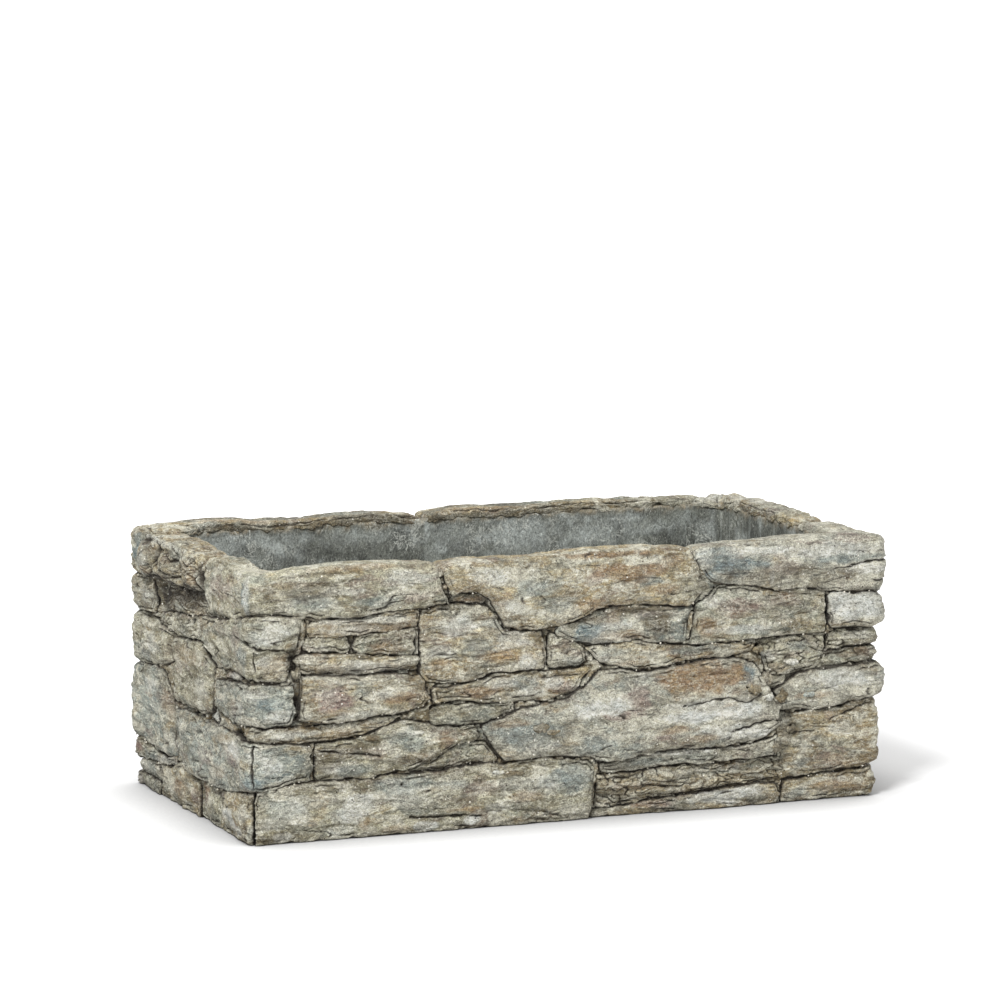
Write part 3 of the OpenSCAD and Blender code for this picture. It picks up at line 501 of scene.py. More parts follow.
def rim_section(s, low, high, back, pitch):
    """The same for a rim stone, whose section goes on round the outer arris, over the wall's thickness to
    a wandering inner edge and round it. From there it goes down to the trough's top, and at a ragged
    height it steps back behind the trough's lip."""
    outer, inner = OUTER_ARRIS, INNER_ARRIS
    rows = max(int((high - outer - low).max() / pitch), 4)
    up = np.linspace(0, 1, rows + 1)
    turn = np.linspace(0, np.pi / 2, 11)[1:]
    over = np.linspace(0, 1, int((RIM_INNER - 12) / pitch) + 1)[1:]
    drop = np.linspace(0, 1, 17)[1:]
    s, crest = s[:, None], high[:, None]
    edge = RIM_INNER + 0.8 * noise(s / 27, 0 * s, 3) + 0.6 * noise(s / 9, 0 * s, 4)
    sunk = np.clip(0.36 + 0.3 * noise(s / 13, 0 * s, 5) + 0.2 * noise(s / 4.5, 0 * s, 6), 0.05, 0.8)
    d = np.concatenate([np.full((len(s), rows + 1), back), back + outer * (1 - np.cos(turn)) + 0 * s,
                        back + outer + (edge - inner - back - outer) * over,
                        edge - inner * (1 - np.sin(turn)),
                        edge + (WALL - LIP - 1.0 - edge) * smooth(drop - sunk, 0, 0.14)], 1)
    z = np.concatenate([low[:, None] + (crest - outer - low[:, None]) * up,
                        crest - outer * (1 - np.sin(turn)),
                        crest + 0 * over, crest - inner * (1 - np.cos(turn)),
                        crest - inner + (TROUGH_TOP + 0.2 - crest + inner) * drop], 1)
    lean = np.concatenate([0 * up, turn, np.pi / 2 + 0 * over, np.pi / 2 + turn, np.pi + 0 * drop])
    gone = np.cumsum(np.hypot(np.diff(d, axis=1), np.diff(z, axis=1)), 1)
    return d, z, lean, np.concatenate([z[:, :1], z[:, :1] + gone], 1)


def end_fans(columns, rows):
    """Triangles that close the two ends of an open skin, each a fan round a point added after the skin's."""
    k = np.arange(rows)
    after, far, last = (k + 1) % rows, (columns - 1) * rows, columns * rows
    return np.concatenate([np.stack([k, after, 0 * k + last], 1),
                           np.stack([far + after, far + k, 0 * k + last + 1], 1)])


def stone_skin(ends, heights, depths, seed, side, stains, cracks=(), dents=(), noses=(), rises=(),
               pitch=FINE, facet=1.0, strata=1.0, lumps=1.0, knobs=0.0, worms=0.0, arris=1.5, pillow=1.2,
               jut=3.0, grow=0.95, reach=(0, 0), proud=0.6):
    """One stone as a closed tube of sections along the wall. A section runs up the riven face, which is
    rounded towards the stone's outline, back over the top bed and down to the lower bed. The outline is
    the solid's, grown into the joint and chipped by noise. The relief is the riven depth with the dents,
    the cracks and flakes that peel along the arris, set so that a third of the face stands proud of the
    solid's. Noses push an end out or in at a height, rises lift a rim stone's crest, and jut squares off
    the wall's corners. With the points come the amounts of each stain, of dark wash and painted shade in
    the hollows, the creases and along the outline, of umber and painted shade in a halo inside the outline,
    and of wear on the high places."""
    ends = ends - ROUND * round((ends.mean() - side * HALF_RUN) / ROUND)
    first, last = ends.min() - grow + 0.3 - reach[0], ends.max() + grow - 0.3 + reach[1]
    s = np.linspace(first, last, max(int((last - first) / pitch), 8) + 1)
    low, high = outline(ends, heights, np.clip(s, ends.min() + 0.03, ends.max() - 0.03))
    rim = high.max() > TROUGH_TOP + 2
    ground = low < 0.3
    tall = np.maximum(high - low, 1.0)
    round_end = np.minimum(2.2, 0.4 * tall)
    nearness = np.clip(round_end - np.minimum(s - first, last - s), 0, None)
    cut = round_end - np.sqrt(np.maximum(round_end ** 2 - nearness ** 2, 0))
    steps = [0.5 * np.round(1.7 * noise(s / 10, 0 * s, seed + 5 * k)) for k in (21, 22)]
    ragged = [0.8 * rough(s / 7, 0 * s, seed + k, 3) + step for k, step in zip((21, 22), steps)]
    ragged = [r + 0.7 * noise(s / 31, 0 * s, seed + 33) for r in ragged]
    chipped = np.clip(1.5 * rough(s / 10, 0 * s, seed + 31, 3) - 0.2, 0, 2.2)
    low = np.where(ground, chipped, low - grow - ragged[0] + cut)
    if rim:
        high += CREST_RISE + 0.7 * rough(s / 24, 0 * s, seed + 23, 3)
        for u, half_u, amount in rises:
            high += amount * np.exp(-((s - along(side, u)) / half_u) ** 2)
        high = np.minimum(high, CREST_MAX)
    else:
        high += grow + ragged[1] - cut
    high = np.maximum(high, low + 0.5)
    back = np.percentile(depths[depths < STONE_BACK - 1], 6)
    d, z, lean, w = (rim_section(s, low, high, back, pitch) if rim
                     else wall_section(low, high, back, pitch))
    ss = np.broadcast_to(s[:, None], z.shape)

    pick = np.unique(np.append(np.arange(0, len(s), max(int(2.0 / pitch), 1)), len(s) - 1))
    edge = [(s[a], w[a, k], s[b], w[b, k]) for k in (0, -1) for a, b in zip(pick[:-1], pick[1:])]
    edge += [(s[i], w[i, 0], s[i], w[i, -1]) for i in (0, -1)]
    q = distance_to(edge, ss.astype(np.float32), w.astype(np.float32))
    depth, crease = riven(ss, w, seed, facet, strata, lumps, worms)
    if knobs:
        depth += knobs * knobbly(ss, w, seed)
    for k, (u, at, half_u, half_w, amount) in enumerate(dents):
        depth += amount * mound(ss, w, side, u, at, half_u, half_w, seed + 200 + 5 * k)
    if cracks:
        legs = [(along(side, a[0]), a[1], along(side, b[0]), b[1])
                for line in cracks for a, b in zip(line[:-1], line[1:])]
        split = distance_to(legs, (ss + 0.8 * noise(ss / 5, w / 5, seed + 41)).astype(np.float32),
                            (w + 0.7 * noise(ss / 4, w / 4, seed + 42)).astype(np.float32))
        width = np.clip(0.6 + 0.55 * noise(ss / 9, w / 9, seed + 43), 0.15, 1)
        crease = np.maximum(crease, np.exp(-(split / width) ** 2) * smooth(width, 0.1, 0.5))
        depth += CRACK_DEPTH * width * np.exp(-(split / width) ** 2) + 0.5 * np.exp(-(split / 2.2) ** 2)
    peel = np.exp(-((q - 2.5 - 1.4 * noise(ss / 23, w / 23, seed + 44)) / 0.42) ** 2) * smooth(q, 0.6, 1.2)
    peel *= smooth(noise(ss / 19, w / 11, seed + 45), 0.08, 0.35)
    crease = np.maximum(crease, 0.8 * peel)
    depth += 0.9 * peel
    depth -= np.percentile(depth, 35)
    depth *= np.where(lean > 3.1, 0.2, np.where(lean > 1.2, 0.55, 1.0))
    proud += min(back, 1.5)
    depth = 0.25 * np.logaddexp(0, (depth + proud) / 0.25) - proud
    chip = smooth(noise(ss / 13, w / 9, seed + 24), 0.25, 0.5) * smooth(5.0 - q, 0, 2.5)
    radius = arris * (1 + 0.5 * noise(ss / 10, w / 8, seed + 25))
    bevel = radius - np.sqrt(np.maximum(radius ** 2 - np.clip(radius - q, 0, None) ** 2, 0))
    depth += bevel + 0.8 * chip + pillow * np.exp(-q / 5)
    depth = np.minimum(depth, STONE_BACK - 1.0 - back)

    hollow = depth - softened(depth, max(int(1.6 / pitch), 1))
    basin = depth - softened(depth, int(6 / pitch))
    # Painted shade with the dark wash: darkest in the hollows and basins of the relief, in creases and
    # cracks, along the outline at the joints, and on the ends and hidden sides.
    wash_and_shade = 0.5 * smooth(hollow, 0.08, 0.6) + 0.3 * smooth(basin, 0.3, 1.4) + 0.4 * smooth(basin, 1.2, 3.2)
    wash_and_shade += 0.85 * crease
    wash_and_shade += np.clip(0.7 + 0.9 * noise(ss / 13, w / 13, seed + 28), 0.1, 1) * np.exp(-(q / 0.5) ** 2)
    wash_and_shade += 0.25 * np.exp(-q / 2.0) * smooth(noise(ss / 9, w / 6, seed + 27), -0.4, 0.4)
    wash_and_shade[[0, -1]] = 1
    values = {"wash_and_shade": np.clip(wash_and_shade, 0, 1), "wear": smooth(-hollow, 0.04, 0.4)}
    for kind in STAIN_KINDS:
        values[kind] = np.zeros_like(z)
    # A halo of umber along the outline, broken by noise: partly stain, partly painted shade at the joints.
    values["umber"] += 0.65 * np.exp(-q / 3.2) * smooth(rough(ss / 16, w / 9, seed + 30, 2), -0.55, 0.35)
    for k, (kind, u, at, half_u, half_w, strength) in enumerate(stains):
        patch = STAIN_STRENGTH * strength * within(ss, w, side, u, at, half_u, half_w, seed + 60 + 31 * k)
        values[kind] = np.maximum(values[kind], patch)

    gap = np.minimum(np.abs(np.mod(s - HALF_X + ROUND / 4, ROUND / 2) - ROUND / 4),
                     np.abs(np.mod(s + HALF_X + ROUND / 4, ROUND / 2) - ROUND / 4))
    square = jut * np.exp(-(gap[:, None] / 10) ** 2) * smooth(q, -5, 5) * smooth(FACE_R - d, 0, 6)
    d = d - square + depth * np.cos(lean)
    z = np.clip(z - depth * np.sin(lean), 0, TALLEST)
    spots = (np.mod(np.round(ss), int(ROUND)), np.clip(np.round(z), 0, cover.shape[1] - 1))
    np.minimum.at(cover, tuple(spot.astype(int) for spot in spots), d)
    pick = pick[::2]
    joint_places.extend(np.stack([s[pick], w[pick, 0], d[pick, 2]], 1)[~ground[pick]])

    into = np.linspace(0, 1, 5)[None, 1:]
    grit = 0.3 * noise(s[:, None] / 3, 9 * into, seed + 26)
    slide = 1.9 * np.exp(-np.minimum(ss - first, last - ss) / 6) * rough(w / 7, 0 * w, seed + 29, 3)
    for end, at, half_w, amount in noses:
        inward = last - ss if end else ss - first
        slide += (2 * end - 1) * amount * np.exp(-((w - at) / half_w) ** 2 - inward / 14)
    ss = ss + slide
    ss = np.concatenate([ss, ss[:, -1:] + 0 * into, ss[:, :1] + 0 * into], 1)
    top_d = d[:, -1:] + (STONE_BACK - d[:, -1:]) * into
    top_z = z[:, -1:] * (1 - into) + (TROUGH_TOP + 0.2) * into if rim else z[:, -1:] + grit
    low_d = d[:, :1] + (STONE_BACK - d[:, :1]) * into[:, ::-1]
    low_z = z[:, :1] + np.where(ground[:, None], 0, grit)
    seen = z.shape[1]
    d = np.concatenate([d, top_d, low_d], 1)
    z = np.concatenate([z, top_z, low_z], 1)
    x, y = wall_point(ss, d)
    points = np.stack([x, y, z], -1)
    count, ring = points.shape[:2]
    for kind, value in values.items():
        hidden = np.full((count, ring - seen), 1.0 if kind == "wash_and_shade" else 0.0)
        values[kind] = np.append(np.concatenate([value, hidden], 1).ravel(), hidden[0, :1].repeat(2))
    points = np.concatenate([points.reshape(-1, 3), points[[0, -1]].mean(1)])
    return points, ring_quads(count, ring, False), end_fans(count, ring), values


def random_stains(rng, side, ends, heights):
    """A few stains of random kind, place and size, for a stone that nobody sees in the photograph."""
    made = []
    for _ in range(rng.integers(2, 6)):
        kind = ("rust", "slate", "plum", "lime")[rng.integers(4)]
        made.append((kind, rng.uniform(ends.min(), ends.max()) - side * HALF_RUN,
                     rng.uniform(heights.min(), heights.max()), rng.uniform(8, 30), rng.uniform(3, 9),
                     rng.uniform(0.35, 0.8)))
    return made


slot_of = {row["node"]: row["material_slot"] for row in frame["record"]["subparts"]}
node_order = sorted(frame["nodes"])


def lay(name, side, stains=(), **style):
    """Dresses one CAD node: a skin for each of its solids, joined into one piece that stands for it. A
    stain is its kind, u, z, half sizes and strength; a dent is u, z, half sizes and depth; a crack is a
    row of places (u, z). On a rim stone's top, z goes on as the length of its section. A nose is an end
    (0 or 1), z, half height and push, a rise is u, half width and height, and reach lengthens the ends."""
    seed = 1000 + 97 * node_order.index(name)
    rng = np.random.default_rng(seed)
    skins = []
    for k, (ends, heights, depths) in enumerate(solids(name)):
        own = list(stains) or random_stains(rng, side, ends, heights)
        skins.append(stone_skin(ends, heights, depths, seed + 7 * k, side, own, **style))
    offsets = np.cumsum([0] + [len(skin[0]) for skin in skins[:-1]])
    points = np.concatenate([skin[0] for skin in skins])
    quads = np.concatenate([skin[1] + offset for skin, offset in zip(skins, offsets)])
    fans = np.concatenate([skin[2] + offset for skin, offset in zip(skins, offsets)])
    values = {kind: np.concatenate([skin[3][kind] for skin in skins]) for kind in skins[0][3]}
    piece = put_mesh("dressed_" + name, points, quads, fans, values)
    piece.data.materials.append(stone_material[slot_of[name]])
    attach(piece, "root")
    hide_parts(name)


def weathered_group():
    """The finish of every stone, as a node group: two base tones in clouds, broad patches of others, pale
    and dim flecks, the painted stains broken up by grain, worn high places, pale and dark veins, pits
    darkened partly as painted shade, two sizes of grain laid over, dark wash and painted shade in the
    hollows, and pinholes and white grit."""
    group = bpy.data.node_groups.new("weathered stone", "ShaderNodeTree")
    for socket in ("Light", "Dark"):
        group.interface.new_socket(socket, in_out="INPUT", socket_type="NodeSocketColor")
    for socket, kind in (("Color", "NodeSocketColor"), ("Roughness", "NodeSocketFloat"),
                         ("Height", "NodeSocketFloat")):
        group.interface.new_socket(socket, in_out="OUTPUT", socket_type=kind)
    given = group.nodes.new("NodeGroupInput").outputs
    result = group.nodes.new("NodeGroupOutput").inputs

    def share(name):
        return wire(group, "ShaderNodeAttribute", attribute_name=name).outputs["Fac"]

    def part(first, second):
        return times(group, first, second)

    def veins(scale, stretch, shift, width, low, high):
        thin = thin_line(group, grain(group, scale, 3, stretch, shift, 0.3, 0.7, 1.6), width)
        return part(thin, grain(group, scale / 3, 3, (1, 1, 1.4), shift + 5, low, high))

    fine = grain(group, 620, 6, (0.7, 0.7, 1.1), 8.3, 0.3, 0.7, 1.2)
    tiny = grain(group, 1350, 2, (0.9, 0.9, 1), 2.9, 0.3, 0.7)
    pits = grain(group, 250, 7, (0.85, 0.85, 1.2), 15.1, 0.36, 0.52, 1.2)
    mottle = grain(group, 130, 5, (0.7, 0.7, 1.4), 4.1, 0.38, 0.62, 1.0)
    cloud = grain(group, 36, 6, (0.9, 0.9, 1.7), 1.7, 0.42, 0.58, 0.6)
    colour = blend(group, cloud, given["Dark"], given["Light"])
    for scale, shift, low, high, strength, tone in (
            (36, 11.9, 0.5, 0.6, 0.5, "838f8f"), (46, 23.3, 0.51, 0.61, 0.55, "736a51"),
            (40, 31.7, 0.56, 0.65, 0.5, "9f875b"), (46, 47.1, 0.56, 0.65, 0.5, "7c6864"),
            (60, 53.9, 0.51, 0.59, 0.85, "d2cfc2")):
        patch = grain(group, scale, 7, (0.8, 0.8, 1.6), shift, low, high, 0.6)
        colour = blend(group, part(patch, strength), colour, linear(tone))
    pale = grain(group, 190, 7, (0.7, 0.7, 1.3), 71.0, 0.5, 0.62, 2.0)
    colour = blend(group, part(pale, 0.5), colour, linear("dbd9ca"))
    dim = grain(group, 160, 7, (0.65, 0.65, 1.4), 83.0, 0.51, 0.64, 1.8)
    colour = blend(group, part(dim, 0.3), colour, linear("5c5545"))
    # The umber tint is partly painted shade, in the recesses and under the overhangs that its attribute
    # marks.
    for kind, tone, other in (("slate", "66787f", "859397"), ("plum", "78625f", "8f7570"),
                              ("rust", "967d59", "8a6e52"), ("lime", "e2e1da", "ced1cf"),
                              ("umber", "61563f", "473c2c")):
        spread = calc(group, "ADD", part(mottle, 0.35), 0.72)
        tint = blend(group, grain(group, 95, 3, (1, 1, 1.5), 61.0, 0.4, 0.6), linear(tone), linear(other))
        colour = blend(group, calc(group, "MINIMUM", part(share(kind), spread), 0.9), colour, tint)
    colour = blend(group, part(part(share("wear"), mottle), 0.55), colour, linear("dddbcf"))
    colour = blend(group, part(veins(190, (0.7, 0.7, 1.2), 37.0, 0.14, 0.42, 0.58), 0.45), colour,
                   linear("e3e1d6"))
    colour = blend(group, part(veins(120, (0.6, 0.6, 1.4), 91.0, 0.06, 0.52, 0.65), 0.4), colour,
                   linear("443b2d"))
    # Dark where the pits of the bump sink: a dark wash in them, and painted shade.
    colour = blend(group, calc(group, "SUBTRACT", 0.32, part(pits, 0.32)), colour, linear("40372a"))
    colour = blend(group, 0.38, colour, blend(group, fine, linear("3a372d"), linear("fffef2")), "OVERLAY")
    colour = blend(group, 0.52, colour, blend(group, tiny, linear("454239"), linear("fffffd")), "OVERLAY")
    # Painted shade: towards near black where the dark-wash attribute is high, in hollows, creases and joints.
    umber = calc(group, "MULTIPLY", share("wash_and_shade"), calc(group, "ADD", part(fine, 0.5), 0.7), True)
    colour = blend(group, calc(group, "POWER", umber, 1.2), colour, linear("21190f"))
    place = wire(group, "ShaderNodeTexCoord").outputs["Object"]
    for scale, tone, size, rare in ((210, "2a2117", 0.1, 0.62), (240, "ece9dd", 0.13, 0.75)):
        cells = wire(group, "ShaderNodeTexVoronoi", [("Vector", place), ("Scale", scale)])
        spot = calc(group, "LESS_THAN", cells.outputs["Distance"], size)
        pick = wire(group, "ShaderNodeSeparateColor", [(0, cells.outputs["Color"])]).outputs[0]
        colour = blend(group, part(spot, calc(group, "GREATER_THAN", pick, rare)), colour, linear(tone))
    group.links.new(colour, result["Color"])
    group.links.new(remap(group, mottle, 0.0, 1.0, 0.72, 0.92), result["Roughness"])
    height = calc(group, "ADD", calc(group, "ADD", part(fine, 0.35), part(tiny, 0.3)), part(pits, 0.5))
    group.links.new(calc(group, "SUBTRACT", height, part(dim, 0.2)), result["Height"])
    return group


def weathered_stone(name, light, dark, depth):
    """A stone material of the shared finish, with its own two base tones and depth of bump in metres."""
    material, tree, shader = new_material(name)
    finish = wire(tree, "ShaderNodeGroup", node_tree=weathered)
    finish.inputs["Light"].default_value = linear(light)
    finish.inputs["Dark"].default_value = linear(dark)
    finish_shader(tree, shader, *(finish.outputs[key] for key in ("Color", "Roughness", "Height")), depth)
    return material


weathered = weathered_group()
stone_material = {slot: weathered_stone(slot, light, dark, 0.0014) for slot, light, dark in (
    ("grey_stone", "b7b39e", "7f7b68"), ("buff_stone", "bbad8d", "817258"),
    ("rust_stone", "b2a382", "7f7158"), ("slate_stone", "a4aaa4", "6e736e"),
    ("pale_stone", "cac8bc", "98968c"))}

lay("coping_front_left_corner", FRONT, strata=0.8,
    stains=(("lime", -213, 150, 4, 17, 0.6), ("slate", -214, 148, 7, 15, 0.8),
        ("umber", -172, 154, 30, 7, 0.55), ("plum", -262, 150, 24, 8, 0.4),
        ("slate", -168, 146, 18, 6, 0.45), ("rust", -178, 158, 20, 2.5, 0.35),
        ("rust", -140, 167, 34, 3, 0.45), ("lime", -108, 158, 16, 6, 0.6), ("plum", -102, 146, 10, 4, 0.35),
        ("slate", -125, 144, 16, 3.5, 0.35), ("umber", -165, 163, 22, 2, 0.5),
        ("umber", -190, 152, 12, 4, 0.4), ("lime", -150, 152, 16, 3, 0.45),
        ("umber", -100, 166, 20, 2.5, 0.5), ("rust", -240, 158, 14, 5, 0.35)),
    dents=((-160, 158, 26, 3, 0.9), (-180, 152, 14, 3, -0.8), (-165, 164, 30, 2, 0.8),
        (-120, 150, 18, 4, -0.7), (-140, 143, 20, 4, 0.7), (-205, 150, 8, 10, -0.7)))
lay("coping_front_middle", FRONT, strata=0.8, reach=(1.2, 0), noses=((1, 141, 5, 5), (1, 130, 4, -3)),
    stains=(("rust", 38, 153, 30, 7, 0.8), ("rust", 24, 166, 38, 3, 0.85), ("rust", 14, 134, 12, 5, 0.6),
        ("rust", 60, 141, 14, 5, 0.5), ("slate", -22, 147, 20, 7, 0.5), ("slate", -10, 136, 14, 6, 0.4),
        ("slate", 54, 147, 11, 4, 0.55), ("lime", -55, 156, 14, 6, 0.55), ("plum", 14, 150, 8, 5, 0.35),
        ("lime", -40, 136, 12, 6, 0.4), ("rust", 68, 158, 8, 6, 0.5)))
lay("coping_front_right_corner", FRONT, strata=0.8, jut=7.0, noses=((0, 151, 7, 4.5),),
    rises=((238, 55, 3.2),),
    stains=(("umber", 140, 147, 34, 7, 0.55), ("umber", 112, 147, 18, 5, 0.6),
        ("umber", 180, 143, 16, 5, 0.5), ("slate", 112, 152, 26, 7, 0.85), ("slate", 98, 158, 16, 8, 0.7),
        ("lime", 90, 160, 8, 8, 0.5), ("slate", 190, 154, 16, 6, 0.35), ("plum", 142, 150, 14, 5, 0.3),
        ("lime", 135, 145, 2.5, 5, 0.9), ("lime", 176, 160, 34, 5, 0.7), ("lime", 130, 162, 34, 3.5, 0.6),
        ("slate", 186, 154, 24, 4, 0.6), ("lime", 200, 147, 20, 4, 0.7)),
    cracks=(((178, 148), (188, 148.5), (200, 151.5), (216, 153)), ((204, 139), (216, 139.5))))


# The rim stones of the back, the left and the right
# The rest of the coping. The left stone is a knobbly lump over a dark hollow, and the stones at the far
# right corner have small curled lumps along their tops.

# The wash stains here are painted shade in the hollows under and between the lobes, and the umber ones are
# partly so.
lay("coping_left", LEFT, strata=0.1, lumps=0.8, facet=0.2, worms=1.0, arris=2.5, proud=6.5, reach=(3, 2),
    stains=(("rust", -77, 156, 6, 4, 0.8), ("rust", -70, 144, 6, 3.5, 0.7), ("rust", -36, 143, 10, 3, 0.6),
        ("rust", -34, 156, 10, 4, 0.6), ("rust", 0, 156, 16, 5, 0.4), ("rust", 13, 149, 4, 5, 0.8),
        ("slate", -44, 148, 8, 4, 0.6), ("slate", -88, 148, 6, 8, 0.5), ("lime", -60, 164, 60, 3, 0.6),
        ("lime", -70, 152, 8, 6, 0.4), ("umber", -50, 139, 24, 5, 1.2), ("umber", 4, 143, 22, 6, 1.1),
        ("umber", 25, 148, 6, 15, 1.3), ("umber", -54, 155, 5, 10, 1.1), ("umber", -76, 162, 14, 3, 1.0),
        ("slate", -84, 150, 26, 18, 0.5), ("slate", -20, 158, 30, 6, 0.35), ("wash_and_shade", 25, 150, 6, 17, 0.8),
        ("wash_and_shade", -50, 139, 28, 5, 0.75), ("wash_and_shade", 0, 141, 32, 4.5, 0.7), ("wash_and_shade", -76, 162.5, 20, 3, 0.35),
        ("wash_and_shade", -56, 154, 4, 14, 0.4), ("wash_and_shade", -16, 147, 5, 10, 0.4), ("wash_and_shade", -30, 145.5, 14, 2.4, 0.65),
        ("wash_and_shade", -92, 140, 8, 6, 0.6), ("umber", -8, 152, 8, 8, 0.5), ("umber", -40, 154, 60, 9, 0.35),
        ("umber", -14, 150, 6, 12, 1.0)),
    dents=((-74, 150, 18, 14, -7.5), (-36, 148, 15, 10, -6.0), (-54, 154, 4, 12, 4.0),
        (-78, 163, 14, 2.2, 3.0), (-36, 160, 14, 2, 1.6), (-16, 150, 6, 12, 3.5), (4, 154, 16, 9, -3.0),
        (13, 148, 4, 5, -4.0), (-46, 137, 20, 4, 5.0), (6, 141, 16, 3.5, 4.5), (24, 147, 4, 14, 5.5),
        (-92, 138, 8, 4, 3.0), (-30, 141, 10, 2, 2.5), (-64, 146, 3, 8, 1.5)),
    cracks=(((-92, 159), (-84, 161.5), (-74, 162)), ((-57, 153), (-62, 146), (-70, 140)), ((-44, 147),
        (-34, 148), (-27, 146)), ((-66, 141), (-56, 141), (-44, 144), (-32, 143.5), (-18, 146), (-8, 143),
        (8, 141.5), (27, 142)), ((20, 157), (24, 150), (25, 142)), ((5, 153), (12, 144)), ((-59, 164),
        (-55, 157), (-57, 149), (-63, 143)), ((-50, 160), (-43, 157), (-36, 158.5), (-28, 155),
        (-19, 156.5)), ((-50, 151), (-43, 147), (-35, 149)), ((-30, 164), (-20, 160), (-12, 155),
        (-9, 148)), ((-90, 152), (-82, 154.5), (-76, 151), (-72, 154)), ((14, 162), (6, 156), (-2, 157.5),
        (-9, 152)), ((18, 161), (21, 154), (16, 149), (20, 143))))
# The umber stains along the back stones' tops are partly painted shade, darkening the far rim.
lay("coping_back_left_corner", BACK, knobs=0.3, noses=((0, 170, 90, 9),),
    rises=((150, 60, 1.6), (50, 30, 2.2), (198, 22, -0.5), (240, 30, 1.0)),
    cracks=(((152, 190), (140, 188), (120, 189), (95, 187), (70, 188), (48, 186)), ((200, 184), (170, 185),
        (150, 184)), ((44, 184), (36, 187), (28, 185))),
    stains=(("umber", 120, 176, 60, 6, 0.6), ("rust", 150, 184, 40, 4, 0.5), ("umber", 60, 190, 60, 8, 0.7),
        ("lime", 190, 172, 20, 4, 0.4), ("slate", 238, 152, 24, 16, 0.8), ("slate", 110, 176, 70, 7, 0.45),
        ("umber", 150, 194, 70, 6, 0.7), ("slate", 180, 188, 30, 5, 0.4), ("slate", 90, 180, 30, 4, 0.4)))
lay("coping_back_middle", BACK, knobs=0.3, noses=((1, 170, 90, -9),),
    rises=((0, 60, 1.0), (-60, 30, 1.2), (-95, 24, 1.2), (-150, 34, 4.0)),
    cracks=(((-60, 189), (-90, 188), (-120, 190), (-150, 188), (-176, 188)), ((0, 187), (-24, 188),
        (-44, 187)), ((-118, 176), (-128, 182), (-134, 188))),
    stains=(("umber", 0, 176, 60, 5, 0.5), ("rust", -20, 186, 40, 5, 0.5), ("umber", 30, 192, 80, 6, 0.6),
        ("umber", -50, 192, 60, 6, 0.6), ("slate", 50, 178, 30, 4, 0.4), ("slate", -60, 176, 90, 7, 0.45)))
lay("coping_back_right_corner", BACK, knobs=0.6, rises=((-260, 60, 1.8), (-216, 8, -3.0), (-335, 28, 3.5)),
    cracks=(((-236, 188), (-262, 187), (-290, 189), (-320, 188)), ((-206, 178), (-214, 181))),
    stains=(("umber", -150, 180, 40, 6, 0.4), ("lime", -190, 178, 34, 12, 0.7),
        ("lime", -260, 176, 40, 8, 0.5), ("rust", -240, 180, 20, 5, 0.4), ("umber", -150, 193, 70, 6, 0.5)),
    dents=((-192, 172, 5, 5, -2.5), (-204, 176, 4, 5, -2.5), (-214, 171, 5, 6, -2.5),
        (-209, 168, 3, 4, 2.0), (-232, 176, 6, 5, -2.0), (-250, 178, 5, 4, -2.0), (-270, 176, 6, 5, -2.0)))


# The front wall's upper stones
# The blocks and slabs under the coping, with two strips and small packing stones at the left.

lay("front_upper_left_block", FRONT,
    stains=(("rust", -48, 107, 16, 4, 0.6), ("rust", -30, 104, 10, 4, 0.5), ("rust", -85, 104, 10, 4, 0.5),
        ("slate", -60, 113, 14, 8, 0.5), ("slate", -45, 127, 14, 7, 0.4), ("lime", -28, 100, 7, 7, 0.7),
        ("lime", -75, 126, 16, 8, 0.6), ("lime", -40, 116, 16, 8, 0.55), ("lime", -85, 112, 10, 5, 0.4),
        ("plum", -78, 122, 10, 4, 0.35)))
lay("front_upper_slab", FRONT, reach=(0, 9),
    stains=(("lime", 24, 112, 20, 6, 0.4), ("rust", 20, 124, 18, 4, 0.35), ("slate", 14, 117, 13, 7, 0.95),
        ("rust", 36, 113, 18, 5, 0.7), ("lime", 30, 120, 14, 4, 0.5), ("rust", 30, 128, 10, 3, 0.35),
        ("umber", 58, 120, 14, 9, 0.85), ("umber", 48, 129, 24, 3, 0.8), ("plum", 52, 126, 10, 3, 0.35)))
lay("front_upper_right_block", FRONT, reach=(4, 0.3),
    stains=(("rust", 90, 116, 9, 8, 0.7), ("rust", 112, 122, 10, 3, 0.4), ("plum", 112, 127, 18, 6, 0.75),
        ("lime", 95, 131, 10, 4, 0.5), ("slate", 120, 112, 14, 4, 0.45), ("plum", 145, 130, 14, 6, 0.4),
        ("umber", 130, 126, 44, 8, 0.4), ("lime", 112, 113, 26, 3, 0.6)))
lay("front_long_thin_stone", FRONT, noses=((1, 94, 4, 7),),
    stains=(("slate", 30, 104, 14, 3, 0.4), ("lime", 20, 100, 8, 4, 0.45), ("rust", 40, 95.5, 14, 2, 0.4),
        ("slate", 85, 102, 20, 3, 0.4)))
lay("front_left_strips", FRONT, strata=1.4, pillow=1.8, reach=(0.5, 2.5),
    stains=(("rust", -130, 126, 40, 6, 0.45), ("lime", -150, 134, 30, 4, 0.5),
        ("rust", -145, 104, 30, 4, 0.4), ("lime", -140, 128, 20, 4, 0.45), ("lime", -135, 104, 24, 5, 0.4),
        ("rust", -150, 131, 30, 3, 0.35), ("rust", -120, 104, 16, 3, 0.45),
        ("slate", -140, 104, 10, 4, 0.4), ("lime", -115, 133, 14, 3, 0.35)))
lay("front_small_stones", FRONT, grow=1.4, worms=0.5,
    stains=(("rust", -66, 139, 18, 6, 0.7), ("lime", -62, 138, 12, 3, 0.6), ("lime", -160, 115, 14, 5, 0.4),
        ("rust", -120, 115, 14, 5, 0.5), ("slate", 5, 95, 10, 6, 0.4), ("lime", 2, 100, 8, 4, 0.4)))


# The front wall's middle stones
# The great stone, pointed at both ends and split by two cracks at its right, and the blocks beside it.

